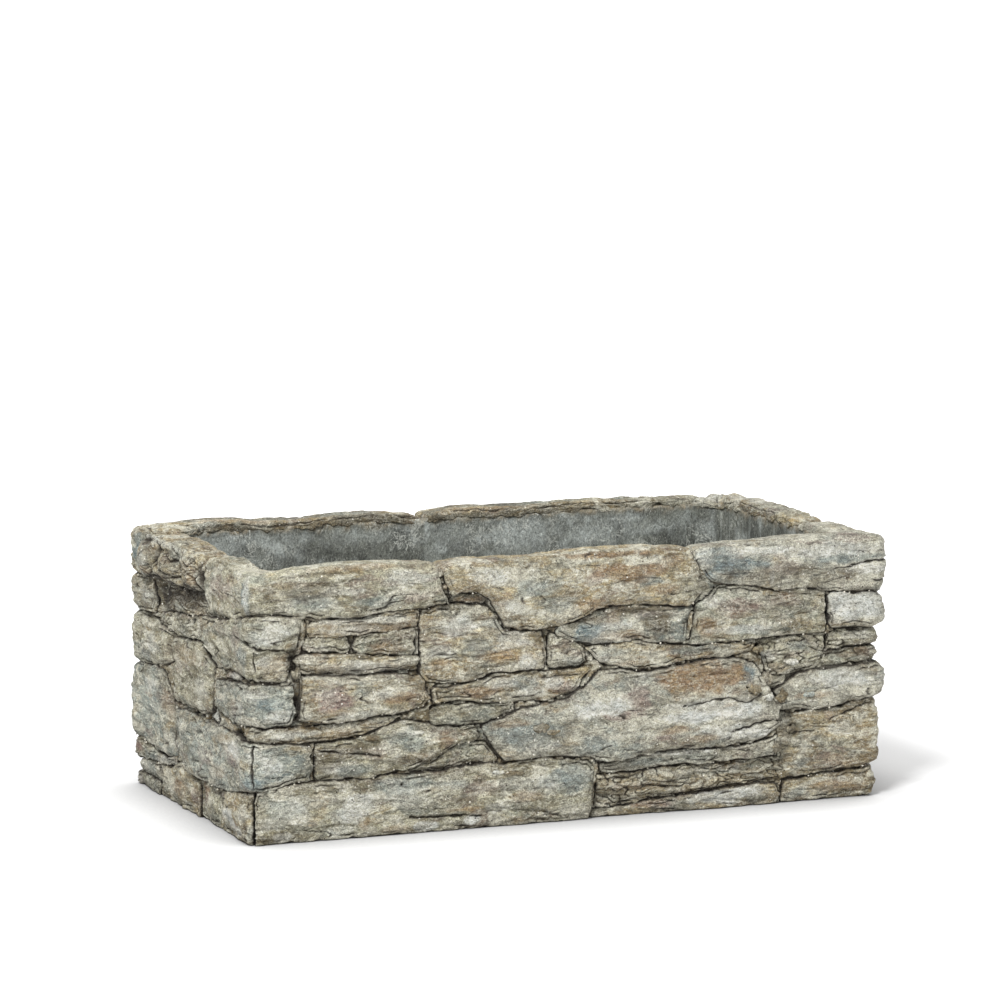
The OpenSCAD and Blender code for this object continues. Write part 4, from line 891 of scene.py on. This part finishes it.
lay("front_middle_left_block", FRONT, reach=(1.5, 1.5),
    stains=(("plum", -155, 86, 14, 8, 0.8), ("rust", -150, 78, 12, 3, 0.55),
        ("rust", -112, 84, 12, 4, 0.55), ("lime", -160, 92, 14, 5, 0.35), ("lime", -140, 76, 14, 3, 0.4),
        ("slate", -135, 92, 10, 5, 0.5), ("lime", -125, 88, 8, 4, 0.35)))
lay("front_middle_block", FRONT,
    stains=(("rust", -60, 85, 18, 4, 0.65), ("plum", -58, 84, 12, 4, 0.4), ("slate", -30, 88, 14, 5, 0.5),
        ("plum", -5, 84, 12, 5, 0.5), ("lime", -12, 88, 8, 4, 0.6), ("lime", -45, 90, 14, 4, 0.5),
        ("lime", -25, 82, 10, 3, 0.45)))
lay("front_great_stone", FRONT, facet=0.7, strata=0.8, reach=(0, 1.0),
    noses=((1, 63, 4, 4.0), (1, 76, 7, -2), (1, 50, 5, -1)),
    stains=(("lime", 100, 64, 30, 8, 0.5), ("lime", 108, 50, 26, 5, 0.5), ("rust", 87, 84, 36, 12, 1.0),
        ("slate", 118, 84, 8, 7, 0.9), ("plum", 45, 72, 10, 12, 0.6), ("plum", 30, 64, 16, 4, 0.65),
        ("lime", 22, 69, 28, 6, 0.85), ("lime", 50, 90, 8, 4, 0.65), ("rust", 70, 52, 16, 3, 0.65),
        ("umber", -10, 52, 34, 8, 0.3), ("slate", -30, 56, 24, 9, 0.6), ("rust", 92, 46, 12, 3, 0.5),
        ("rust", 105, 62, 7, 6, 0.6), ("lime", 114, 61, 20, 6, 0.95), ("lime", 120, 47, 20, 4, 0.85),
        ("lime", 86, 60, 26, 5, 0.85), ("slate", -20, 55, 18, 10, 0.45), ("lime", -20, 47, 14, 4, 0.5),
        ("rust", -40, 64, 14, 3, 0.4), ("slate", 15, 46, 16, 7, 0.65), ("plum", 60, 48, 8, 3, 0.55),
        ("lime", 75, 66, 12, 4, 0.5)),
    cracks=(((76, 66.5), (84, 67.5), (96, 69.5), (108, 69.5), (117, 66), (125, 68), (129, 71)), ((110, 49),
        (119, 50), (126, 52.5), (136, 54), (143, 53)), ((119, 76), (124, 72))),
    dents=((124, 72, 6, 6, 1.2), (120, 51, 8, 2.5, 1.5), (0, 60, 30, 8, -0.7)))
lay("front_right_crumbled_stone", FRONT, strata=1.2, worms=1.0, reach=(1.0, 2.0),
    stains=(("lime", 130, 94, 14, 4, 0.5), ("rust", 140, 86, 8, 3, 0.4), ("slate", 155, 100, 10, 4, 0.4)))


# The front wall's lower stones
# A block at the left, the crumbling layered stone at the right, and the base course.

lay("front_lower_left_block", FRONT,
    stains=(("slate", -140, 42, 14, 5, 0.55), ("lime", -155, 44, 8, 4, 0.5), ("plum", -128, 51, 10, 4, 0.4),
        ("umber", -145, 54, 24, 5, 0.8), ("umber", -160, 50, 10, 9, 0.7), ("umber", -95, 45, 30, 3, 0.75),
        ("slate", -105, 58, 14, 8, 0.5), ("rust", -82, 56, 6, 8, 0.4), ("rust", -100, 48, 12, 3, 0.35)),
    cracks=(((-165, 56), (-150, 53), (-138, 52), (-125, 50)),))
lay("front_lower_right_thin_stone", FRONT, strata=1.3, worms=0.5,
    stains=(("lime", 75, 38, 30, 3, 0.75), ("slate", 50, 33, 16, 3, 0.45)))
lay("front_layered_stone", FRONT, strata=2.0, worms=1.2, reach=(1.0, 3.5),
    noses=((1, 33, 3, 2), (1, 22, 4, -1.5)),
    stains=(("rust", 50, 18, 20, 3, 0.4), ("slate", 110, 24, 20, 3, 0.4)))
lay("base_front_left_stone", FRONT, facet=0.7,
    stains=(("lime", -170, 24, 30, 6, 0.3), ("lime", -188, 4, 7, 4, 1.4), ("lime", -96, 4, 9, 4, 1.3),
        ("lime", -66, 6, 6, 4, 1.3), ("lime", -142, 15, 16, 6, 0.8), ("lime", -100, 22, 30, 8, 0.3),
        ("lime", -30, 26, 24, 6, 0.35), ("slate", -185, 22, 14, 8, 0.4), ("lime", -140, 22, 14, 7, 0.65),
        ("lime", -190, 14, 16, 5, 0.35), ("lime", -80, 28, 16, 4, 0.4), ("lime", -150, 6, 10, 4, 0.5),
        ("rust", -135, 10, 5, 6, 0.45), ("rust", -115, 4, 10, 3, 0.4), ("slate", -110, 30, 24, 7, 0.55),
        ("umber", -205, 4, 40, 4, 0.6), ("umber", -75, 20, 14, 3, 0.4), ("umber", -20, 3, 30, 3, 0.6),
        ("plum", -60, 25, 16, 6, 0.35), ("lime", -48, 12, 10, 4, 0.4), ("rust", -70, 13, 14, 1.5, 0.55),
        ("slate", 0, 26, 20, 10, 0.65), ("lime", -12, 24, 6, 3, 0.65), ("rust", -30, 17, 12, 4, 0.45)),
    cracks=(((-105, 10), (-90, 9.5), (-75, 9.5), (-60, 8)),))
lay("base_front_right_stone", FRONT,
    stains=(("plum", 55, 6, 16, 3, 0.5), ("lime", 104, 8, 30, 6, 0.9), ("lime", 62, 12, 14, 2, 0.4),
        ("slate", 128, 5, 10, 3, 0.4)))


# The front left corner
# Quoins, each bent round the corner from the front wall into the left one.

lay("quoin_front_left_upper", FRONT, pillow=2.0, reach=(0, 1.5),
    stains=(("slate", -222, 112, 8, 14, 0.5), ("lime", -194, 128, 16, 7, 0.65),
        ("plum", -232, 126, 8, 8, 0.35), ("rust", -192, 108, 14, 8, 0.35), ("lime", -200, 112, 8, 4, 0.5),
        ("umber", -182, 110, 4, 8, 0.8)),
    cracks=(((-221, 124.5), (-211, 122), (-204, 120), (-190, 118.6), (-175, 117)), ((-207, 118),
        (-207.5, 112), (-206, 107))),
    dents=((-217, 123, 9, 1.6, 3.0), (-190, 128, 18, 9, -1.0), (-190, 108, 14, 8, -1.0),
        (-178, 108, 5, 8, 3.5)))
lay("quoin_front_left_middle", FRONT, pillow=2.0, reach=(0, 2.0),
    stains=(("slate", -198, 87, 12, 7, 0.65), ("lime", -188, 78, 12, 5, 0.6),
        ("lime", -210, 92, 14, 4, 0.5), ("lime", -222, 84, 10, 6, 0.4), ("plum", -236, 80, 8, 6, 0.3)))
lay("quoin_front_left_strip", FRONT, worms=0.4,
    stains=(("lime", -180, 66, 16, 3, 0.5), ("rust", -150, 66, 12, 3, 0.35)))
lay("quoin_front_left_lower", FRONT, facet=0.7,
    stains=(("plum", -240, 50, 20, 6, 0.35), ("rust", -255, 58, 24, 6, 0.3),
        ("slate", -196, 42, 14, 8, 0.45), ("lime", -238, 56, 14, 6, 0.8), ("lime", -196, 50, 9, 7, 0.7),
        ("slate", -206, 38, 8, 6, 0.8), ("lime", -205, 56, 8, 5, 0.4), ("rust", -262, 38, 14, 5, 0.3)),
    cracks=(((-207.5, 61), (-208, 50), (-207.5, 36)),))
lay("base_front_left_corner", FRONT,
    stains=(("lime", -218, 18, 8, 8, 0.5), ("rust", -236, 22, 8, 4, 0.35), ("slate", -210, 8, 6, 6, 0.4),
        ("lime", -246, 12, 14, 7, 0.9), ("lime", -228, 6, 10, 4, 0.7), ("umber", -267, 10, 5, 9, 0.9),
        ("umber", -216, 8, 5, 10, 0.7)),
    cracks=(((-269, 2), (-270, 10), (-267, 17)), ((-299, 24), (-285, 22), (-268, 20), (-254, 21)),
        ((-262, 22), (-256, 16), (-250, 18))))


# The front right corner
# Quoins bent round from the front wall into the right one, thin and split in the middle of the height.

lay("quoin_front_right_upper", FRONT, pillow=1.5, jut=7.0, reach=(0.3, 0),
    stains=(("lime", 190, 126, 26, 14, 1.0), ("rust", 182, 113, 8, 2.5, 0.3),
        ("slate", 240, 124, 14, 6, 0.4)))
lay("quoin_front_right_thin_pair", FRONT, strata=1.4, worms=0.5, jut=5.5, reach=(1.5, 0),
    stains=(("lime", 195, 104, 14, 3, 0.4), ("plum", 170, 95, 14, 3, 0.4), ("rust", 190, 92, 12, 2, 0.4)))
lay("quoin_front_right_middle", FRONT, pillow=1.5, jut=8.0,
    stains=(("lime", 185, 78, 24, 8, 0.75), ("rust", 160, 68, 14, 3, 0.5), ("slate", 175, 82, 12, 3, 0.4)))
lay("quoin_front_right_lower", FRONT, jut=5.5, reach=(5.5, 0), noses=((0, 40, 9, 1.5),),
    stains=(("umber", 146, 44, 7, 18, 0.6), ("slate", 146, 54, 6, 8, 0.5), ("rust", 180, 25, 18, 5, 0.35),
        ("slate", 158, 26, 8, 5, 0.4), ("lime", 185, 46, 10, 5, 0.35)),
    cracks=(((150, 44), (158, 44.5), (166, 45)), ((176, 52), (190, 56), (200, 60), (208, 60))),
    dents=((152, 48, 4, 4, 2.0), (150, 54, 3, 8, 1.5), (158, 30, 5, 2, 1.2)))
lay("base_front_right_corner", FRONT, pillow=2.0, jut=4.0,
    stains=(("rust", 182, 9, 22, 6, 0.65), ("lime", 185, 13, 5, 2, 0.4), ("slate", 155, 6, 8, 4, 0.4)))


# The left wall
# The end wall that the photograph shows, and the quoins at its far corner.

# Its wash stains are painted shade under the coping's lobes, and its umber stains are partly so.
lay("left_thin_stones", LEFT, worms=1.1, reach=(-3, 0),
    dents=((-14, 139, 36, 6, 2.0), (-40, 132, 10, 8, 2.0)),
    stains=(("umber", -12, 136, 44, 9, 1.35), ("umber", -40, 128, 12, 10, 1.2),
        ("wash_and_shade", -10, 140, 52, 6, 0.75), ("wash_and_shade", -50, 131, 8, 16, 0.85), ("wash_and_shade", -20, 133, 22, 2.6, 0.65),
        ("rust", 14, 128, 14, 3, 0.5), ("rust", 5, 126, 16, 4, 0.35), ("slate", -20, 130, 12, 5, 0.4)))
lay("left_middle_stone", LEFT, pillow=2.5,
    stains=(("rust", 0, 100, 22, 8, 0.35), ("lime", 26, 84, 14, 8, 0.35), ("plum", -14, 90, 8, 6, 0.3),
        ("umber", -30, 96, 8, 8, 0.5)))
lay("left_base_stone", LEFT, stains=(("rust", -20, 12, 14, 8, 0.55), ("plum", 10, 12, 10, 8, 0.35)))
lay("left_small_stones", LEFT, grow=1.2, worms=0.5)
# The wash stain is painted shade in the deep joint at its end, and the umber round it is partly so.
lay("quoin_back_left_upper", BACK, pillow=3.0, reach=(0, -3),
    stains=(("lime", 236, 128, 12, 6, 0.3), ("slate", 232, 124, 30, 16, 0.3),
        ("umber", 256, 128, 7, 14, 1.3), ("wash_and_shade", 258, 130, 4, 13, 1.0), ("umber", 244, 138, 14, 2.5, 1.0)),
    dents=((252, 131, 6, 6, -2.0), (246, 124, 4, 10, 1.5)))
lay("quoin_back_left_middle", BACK, pillow=3.0,
    stains=(("lime", 250, 96, 16, 8, 0.5), ("slate", 240, 88, 10, 6, 0.4), ("umber", 282, 100, 8, 10, 0.6)))
lay("quoin_back_left_lower", BACK, pillow=2.5,
    stains=(("slate", 255, 56, 14, 8, 0.35), ("lime", 250, 70, 16, 6, 0.45),
        ("rust", 280, 62, 12, 10, 0.4)))
lay("base_back_left_corner", BACK, worms=0.6)


# The right wall and the back wall
# The two walls that the photograph does not show, dressed like the others.

for name in ("right_upper_block", "right_middle_block", "right_lower_block", "base_right_stone"):
    lay(name, RIGHT, pitch=COARSE)
for name in ("quoin_back_right_upper", "quoin_back_right_middle", "quoin_back_right_lower",
             "base_back_right_corner", "back_upper_left_block", "back_upper_middle_block",
             "back_middle_left_stone", "back_middle_stone", "back_middle_right_stone",
             "back_lower_left_stone", "back_lower_right_stone", "base_back_left_stone",
             "base_back_middle_stone"):
    lay(name, BACK, pitch=COARSE)


# The mortar coat
# A bed between the trough and the stones' backs. It closes the narrow joints deep down, and comes out as
# a crumbly filling near the faces wherever the stones leave a wider gap.

mortar_low, mortar_high = (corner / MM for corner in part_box("mortar_bed"))
MORTAR_PITCH, MORTAR_BACK_PITCH, MORTAR_ROWS = 1.05, 2.8, 112
# Half the width over which the stones' depths are averaged, and how far the mortar stays behind a stone's
# own skin and behind that average where a stone covers it.
AROUND = 5
UNDER_SKIN, UNDER_MEAN = 2.6, 2.8
# Places where the joint is raked out deep: wall, u, z and half sizes.
RAKED = ((LEFT, -58, 127, 10, 13), (FRONT, 136, 76, 6, 9), (FRONT, -178, 108, 5, 9),
         (FRONT, -177, 84, 4, 12), (FRONT, 128, 101, 5, 4), (LEFT, 20, 148, 6, 8))


def mortar_skin():
    """A closed ring with its inner face on the trough. In the gaps the outer face rises to a little below
    the mean depth of the stones around, which is a blurred sum of their depths over a blurred count, and
    it is raked out deep in a few places. Where a stone covers it, it stays behind both the stone's skin
    and that mean. With the points comes the amount of dark wash and painted shade, which is most behind
    the stones and grows where the mortar is crumbled back and raked out deep."""
    fine = np.arange(-(HALF_Y + HALF_RUN), HALF_X, MORTAR_PITCH)
    coarse = np.arange(HALF_X, ROUND - HALF_Y - HALF_RUN, MORTAR_BACK_PITCH)
    s = np.concatenate([fine, coarse])[:, None]
    z = np.linspace(mortar_low.z, mortar_high.z, MORTAR_ROWS)[None, :]
    covered = cover < STONE_BACK - 0.5
    pad = 4 * AROUND
    padded = np.concatenate([cover[-pad:], cover, cover[:pad]])
    held = np.concatenate([covered[-pad:], covered, covered[:pad]])
    count = np.maximum(softened(held.astype(float), AROUND), 0.05)
    near = (softened(np.where(held, padded, 0), AROUND) / count)[pad:-pad]
    i = np.mod(np.round(s), len(cover)).astype(int)
    j = np.clip(np.round(z), 0, cover.shape[1] - 1).astype(int)
    crumble = 0.3 + 0.8 * rough(s / 7, z / 5, 51, 3) + 0.5 * np.abs(noise(s / 3.1, z / 2.4, 53))
    raked = sum(mound(side * HALF_RUN + np.mod(s - side * HALF_RUN + ROUND / 2, ROUND) - ROUND / 2, z, side,
                      u, at, half_u, half_z, 57) for side, u, at, half_u, half_z in RAKED)
    deep = np.clip(near[i, j] + crumble + 8 * raked, 1, STONE_BACK - 0.4)
    under = np.maximum(cover[i, j] + UNDER_SKIN, near[i, j] + UNDER_MEAN)
    under = np.clip(under + 8 * raked, 1, STONE_BACK - 0.4)
    d = np.where(covered[i, j], under, deep)
    x, y = wall_point(s, d)
    back_x, back_y = wall_point(s, TROUGH_OUT + 0 * s)
    x = np.concatenate([x, back_x, back_x], 1)
    y = np.concatenate([y, back_y, back_y], 1)
    z = np.concatenate([np.broadcast_to(z, d.shape), mortar_high.z + 0 * s, mortar_low.z + 0 * s], 1)
    # Painted shade: darker behind the stones, where the crumbling sinks the face, and in the raked joints.
    wash_and_shade = np.where(covered[i, j], 0.85, np.clip(0.1 + 0.5 * smooth(crumble, 0.3, 1.5) + raked, 0, 1))
    wash_and_shade = np.concatenate([wash_and_shade, 0 * s + 1, 0 * s + 1], 1)
    return np.stack([x, y, z], -1).reshape(-1, 3), ring_quads(len(s), x.shape[1], True), wash_and_shade.ravel()


points, quads, wash_and_shade = mortar_skin()
bed = put_mesh("raked_mortar", points, quads, np.zeros((0, 3)), {"wash_and_shade": wash_and_shade})
bed.data.materials.append(weathered_stone("mortar", "938770", "5f5540", 0.0009))
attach(bed, "root")
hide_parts("mortar_bed")


# The fragments in the joints
# Broken bits of the same stones, pushed into the mortar where a joint was too wide, mostly at the right.

# Wall, u, z, half length, half height, and the stain that it has most of.
FRAGMENTS = [(FRONT, *row) for row in (
    (134, 69, 3.0, 2.6, "lime"), (143, 68, 4.5, 3.4, "umber"), (133, 80, 5.0, 4.0, "umber"),
    (124, 74, 5.0, 3.5, "umber"), (150, 47, 3.4, 2.6, "umber"), (139, 36, 4.0, 3.0, "umber"),
    (140, 88, 6.0, 2.4, "umber"), (149, 90, 5.0, 2.0, "lime"), (127, 99, 4.0, 3.0, "umber"),
    (161, 69, 4.0, 2.2, "slate"), (-177, 103, 3.0, 3.4, "umber"), (-20, 60, 6.0, 2.2, "umber"),
    (-12, 57, 5.0, 1.6, "umber"), (-38, 33, 7.0, 1.6, "umber"), (-48, 34, 5.0, 1.4, "lime"),
    (-60, 32, 6.0, 1.6, "umber"), (195, 61, 5.0, 2.0, "umber"), (198, 95, 6.0, 1.8, "umber"),
    (-130, 61, 6.0, 1.5, "umber"), (-100, 62, 5.0, 1.3, "lime"), (60, 129, 9.0, 1.5, "umber"),
    (40, 131, 8.0, 1.4, "umber"), (95, 143, 7.0, 1.4, "umber"))] + [(LEFT, 20, 120, 4.0, 2.0, "umber")]


def fragments():
    """Each is an egg along the wall: rings about its length, whose radius is the root of 1 - t^2 waved by
    noise. It sits on the depth of what is around its middle."""
    t = np.linspace(-0.96, 0.96, 17)[:, None]
    turn = np.linspace(0, 2 * np.pi, 18, endpoint=False)[None, :]
    points, quads, fans, values = [], [], [], {"wash_and_shade": [], "rust": [], "slate": [], "lime": [], "umber": []}
    for n, (side, u, z, half_u, half_z, kind) in enumerate(FRAGMENTS):
        middle = along(side, u)
        at = cover[int(round(middle)) % len(cover), int(z)]
        radius = np.sqrt(1 - t * t) * (1 + 0.7 * rough(2.2 * t + 7 * n, 1.7 * np.cos(turn) + 2, 90 + n, 3)
                                     + 0.4 * noise(1.9 * t + 3 * n, 1.7 * np.sin(turn) + 9, 190 + n))
        s = middle + half_u * t + 0.3 * half_u * np.cos(turn) * noise(2 * t, n + 0.5, 91)
        d = min(at, 4.5) + 0.6 - min(half_z, 2.6) * radius * np.sin(turn)
        x, y = wall_point(s, np.maximum(d, -1.5))
        ring = np.stack([x, y, z + half_z * radius * np.cos(turn) + 0 * x], -1)
        count, rows = ring.shape[:2]
        start = n * (count * rows + 2)
        quads.append(ring_quads(count, rows, False)[:, ::-1] + start)
        fans.append(end_fans(count, rows)[:, [1, 0, 2]] + start)
        points += [ring.reshape(-1, 3), ring[[0, -1]].mean(1)]
        for name, value in values.items():
            # Painted shade: each fragment darkens from its top and bottom round to its back, in the joint.
            share = (np.clip(0.75 - np.sin(turn), 0, 1) if name == "wash_and_shade" else 0) + 0 * radius
            share = share + (0.7 if name == kind else 0)
            value += [share.ravel(), share[[0, -1], 0]]
    return (np.concatenate(points), np.concatenate(quads), np.concatenate(fans),
            {name: np.clip(np.concatenate(value), 0, 1) for name, value in values.items()})


points, quads, fans, values = fragments()
bits = put_mesh("joint_fragments", points, quads, fans, values)
bits.data.materials.append(weathered_stone("fragment", "b3ab98", "857a64", 0.0005))
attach(bits, "root")


# The joint crumbs
# Pale grains of broken stone that stayed in the joints when the mortar was brushed down.

CRUMBS = 200


def crumbs():
    """Small uneven octahedra on random places of the stones' lower edges, each with its own size."""
    rng = np.random.default_rng(77)
    places = np.array(joint_places)[rng.choice(len(joint_places), CRUMBS, replace=False)]
    s, z, d = places.T
    s, z = s + rng.normal(0, 0.6, CRUMBS), z + rng.normal(0, 0.5, CRUMBS)
    x, y = wall_point(s, np.clip(d - 0.2, 0, None))
    centres = np.stack([x, y, z], -1)
    arms = np.concatenate([np.eye(3), -np.eye(3)])[None] * rng.uniform(0.35, 0.95, (CRUMBS, 1, 1))
    points = centres[:, None] + arms * rng.uniform(0.6, 1.3, (CRUMBS, 6, 1))
    faces = np.array([(0, 1, 2), (1, 3, 2), (3, 4, 2), (4, 0, 2), (1, 0, 5), (3, 1, 5), (4, 3, 5), (0, 4, 5)])
    return points.reshape(-1, 3), (faces[None] + 6 * np.arange(CRUMBS)[:, None, None]).reshape(-1, 3)


crumb, tree, shader = new_material("crumb")
tone = blend(tree, grain(tree, 700, 2, (1, 1, 1), 2.0, 0.4, 0.6), linear("e2ddcf"), linear("b9b3a1"))
finish_shader(tree, shader, tone, grain(tree, 300, 2, (1, 1, 1), 4.0, -2.0, 1.5), tone, 0.0002)
points, faces = crumbs()
grains = put_mesh("joint_crumbs", points, np.zeros((0, 4)), faces, {})
grains.data.materials.append(crumb)
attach(grains, "root")


# The floor, the light and the camera
# A white sweep with a painted contact shadow round the foot, under even studio light from the front left
# and above, seen as the photograph sees it.

LENS = 179.1
AZIMUTH, ELEVATION, TILT, REACH = math.radians(-22.20), math.radians(9.59), math.radians(1.82), 3.184
SKY_LIGHT = 0.36
centre = Vector((0, 0, 0.0825))


def looked_at(tree):
    """1 for what the camera sees, straight, in a reflection or through glass, and 0 for light on the way."""
    path = wire(tree, "ShaderNodeLightPath")
    seen = calc(tree, "MAXIMUM", path.outputs["Is Camera Ray"], path.outputs["Is Glossy Ray"])
    return calc(tree, "MAXIMUM", seen, path.outputs["Is Transmission Ray"])


bpy.ops.mesh.primitive_plane_add(size=30, location=(0, 0, 0))
floor = bpy.context.object
floor.name = "studio_floor"
white, tree, shader = new_material("studio_white")
shader.inputs["Roughness"].default_value = 0.9
# Painted contact shadow: ambient occlusion darkens the floor's colour and its glow near the object.
painted_contact_shadow = wire(tree, "ShaderNodeAmbientOcclusion", [("Distance", 0.07)], samples=8).outputs["AO"]
painted_contact_shadow = remap(tree, painted_contact_shadow, 0.3, 0.95)
seen = looked_at(tree)
sheet = blend(tree, seen, (0.88, 0.88, 0.88, 1), (0.66, 0.66, 0.66, 1))
tree.links.new(blend(tree, painted_contact_shadow, (0.3, 0.3, 0.3, 1), sheet), shader.inputs["Base Color"])
place = wire(tree, "ShaderNodeTexCoord").outputs["Object"]
away = wire(tree, "ShaderNodeVectorMath", [(0, place)], operation="LENGTH").outputs["Value"]
glow = times(tree, seen, remap(tree, away, 0.35, 1.1, 0.4, 1.0))
shader.inputs["Emission Color"].default_value = (1, 1, 1, 1)
tree.links.new(times(tree, glow, painted_contact_shadow), shader.inputs["Emission Strength"])
floor.data.materials.append(white)

world = bpy.data.worlds.new("studio")
bpy.context.scene.world = world
world.use_nodes = True
tree = world.node_tree
sky = next(n for n in tree.nodes if n.type == "BACKGROUND")
sky.inputs["Color"].default_value = (1, 1, 1, 1)
tree.links.new(remap(tree, looked_at(tree), 0.0, 1.0, SKY_LIGHT, 1.0), sky.inputs["Strength"])


def softbox(name, place, aim, size, power):
    """A square area lamp at a place, turned to the point that it lights."""
    lamp = bpy.data.lights.new(name, "AREA")
    lamp.size, lamp.energy = size, power
    made = bpy.data.objects.new(name, lamp)
    made.location = place
    made.rotation_euler = (Vector(aim) - Vector(place)).to_track_quat("-Z", "Y").to_euler()
    bpy.context.scene.collection.objects.link(made)


softbox("key", (-1.2, -1.4, 2.35), (0, 0, 0.08), 0.6, 86)
softbox("fill", (1.2, -2.2, 0.9), (0, 0, 0.08), 1.4, 7.5)
softbox("top", (-0.2, 0.3, 1.9), (0, 0, 0.1), 1.2, 8)

lens = bpy.data.cameras.new("camera")
lens.lens, lens.sensor_width = LENS, 36
camera = bpy.data.objects.new("camera", lens)
bpy.context.scene.collection.objects.link(camera)
right = Vector((math.cos(AZIMUTH), math.sin(AZIMUTH), 0))
back = Vector((math.sin(AZIMUTH) * math.cos(ELEVATION), -math.cos(AZIMUTH) * math.cos(ELEVATION),
               math.sin(ELEVATION)))
up = back.cross(right)
tilted_back = back * math.cos(TILT) - up * math.sin(TILT)
tilted_up = up * math.cos(TILT) + back * math.sin(TILT)
camera.matrix_world = Matrix.Translation(centre + back * REACH) @ Matrix(
    (right, tilted_up, tilted_back)).transposed().to_4x4()
bpy.context.scene.camera = camera
bpy.context.scene.view_settings.view_transform = "Standard"
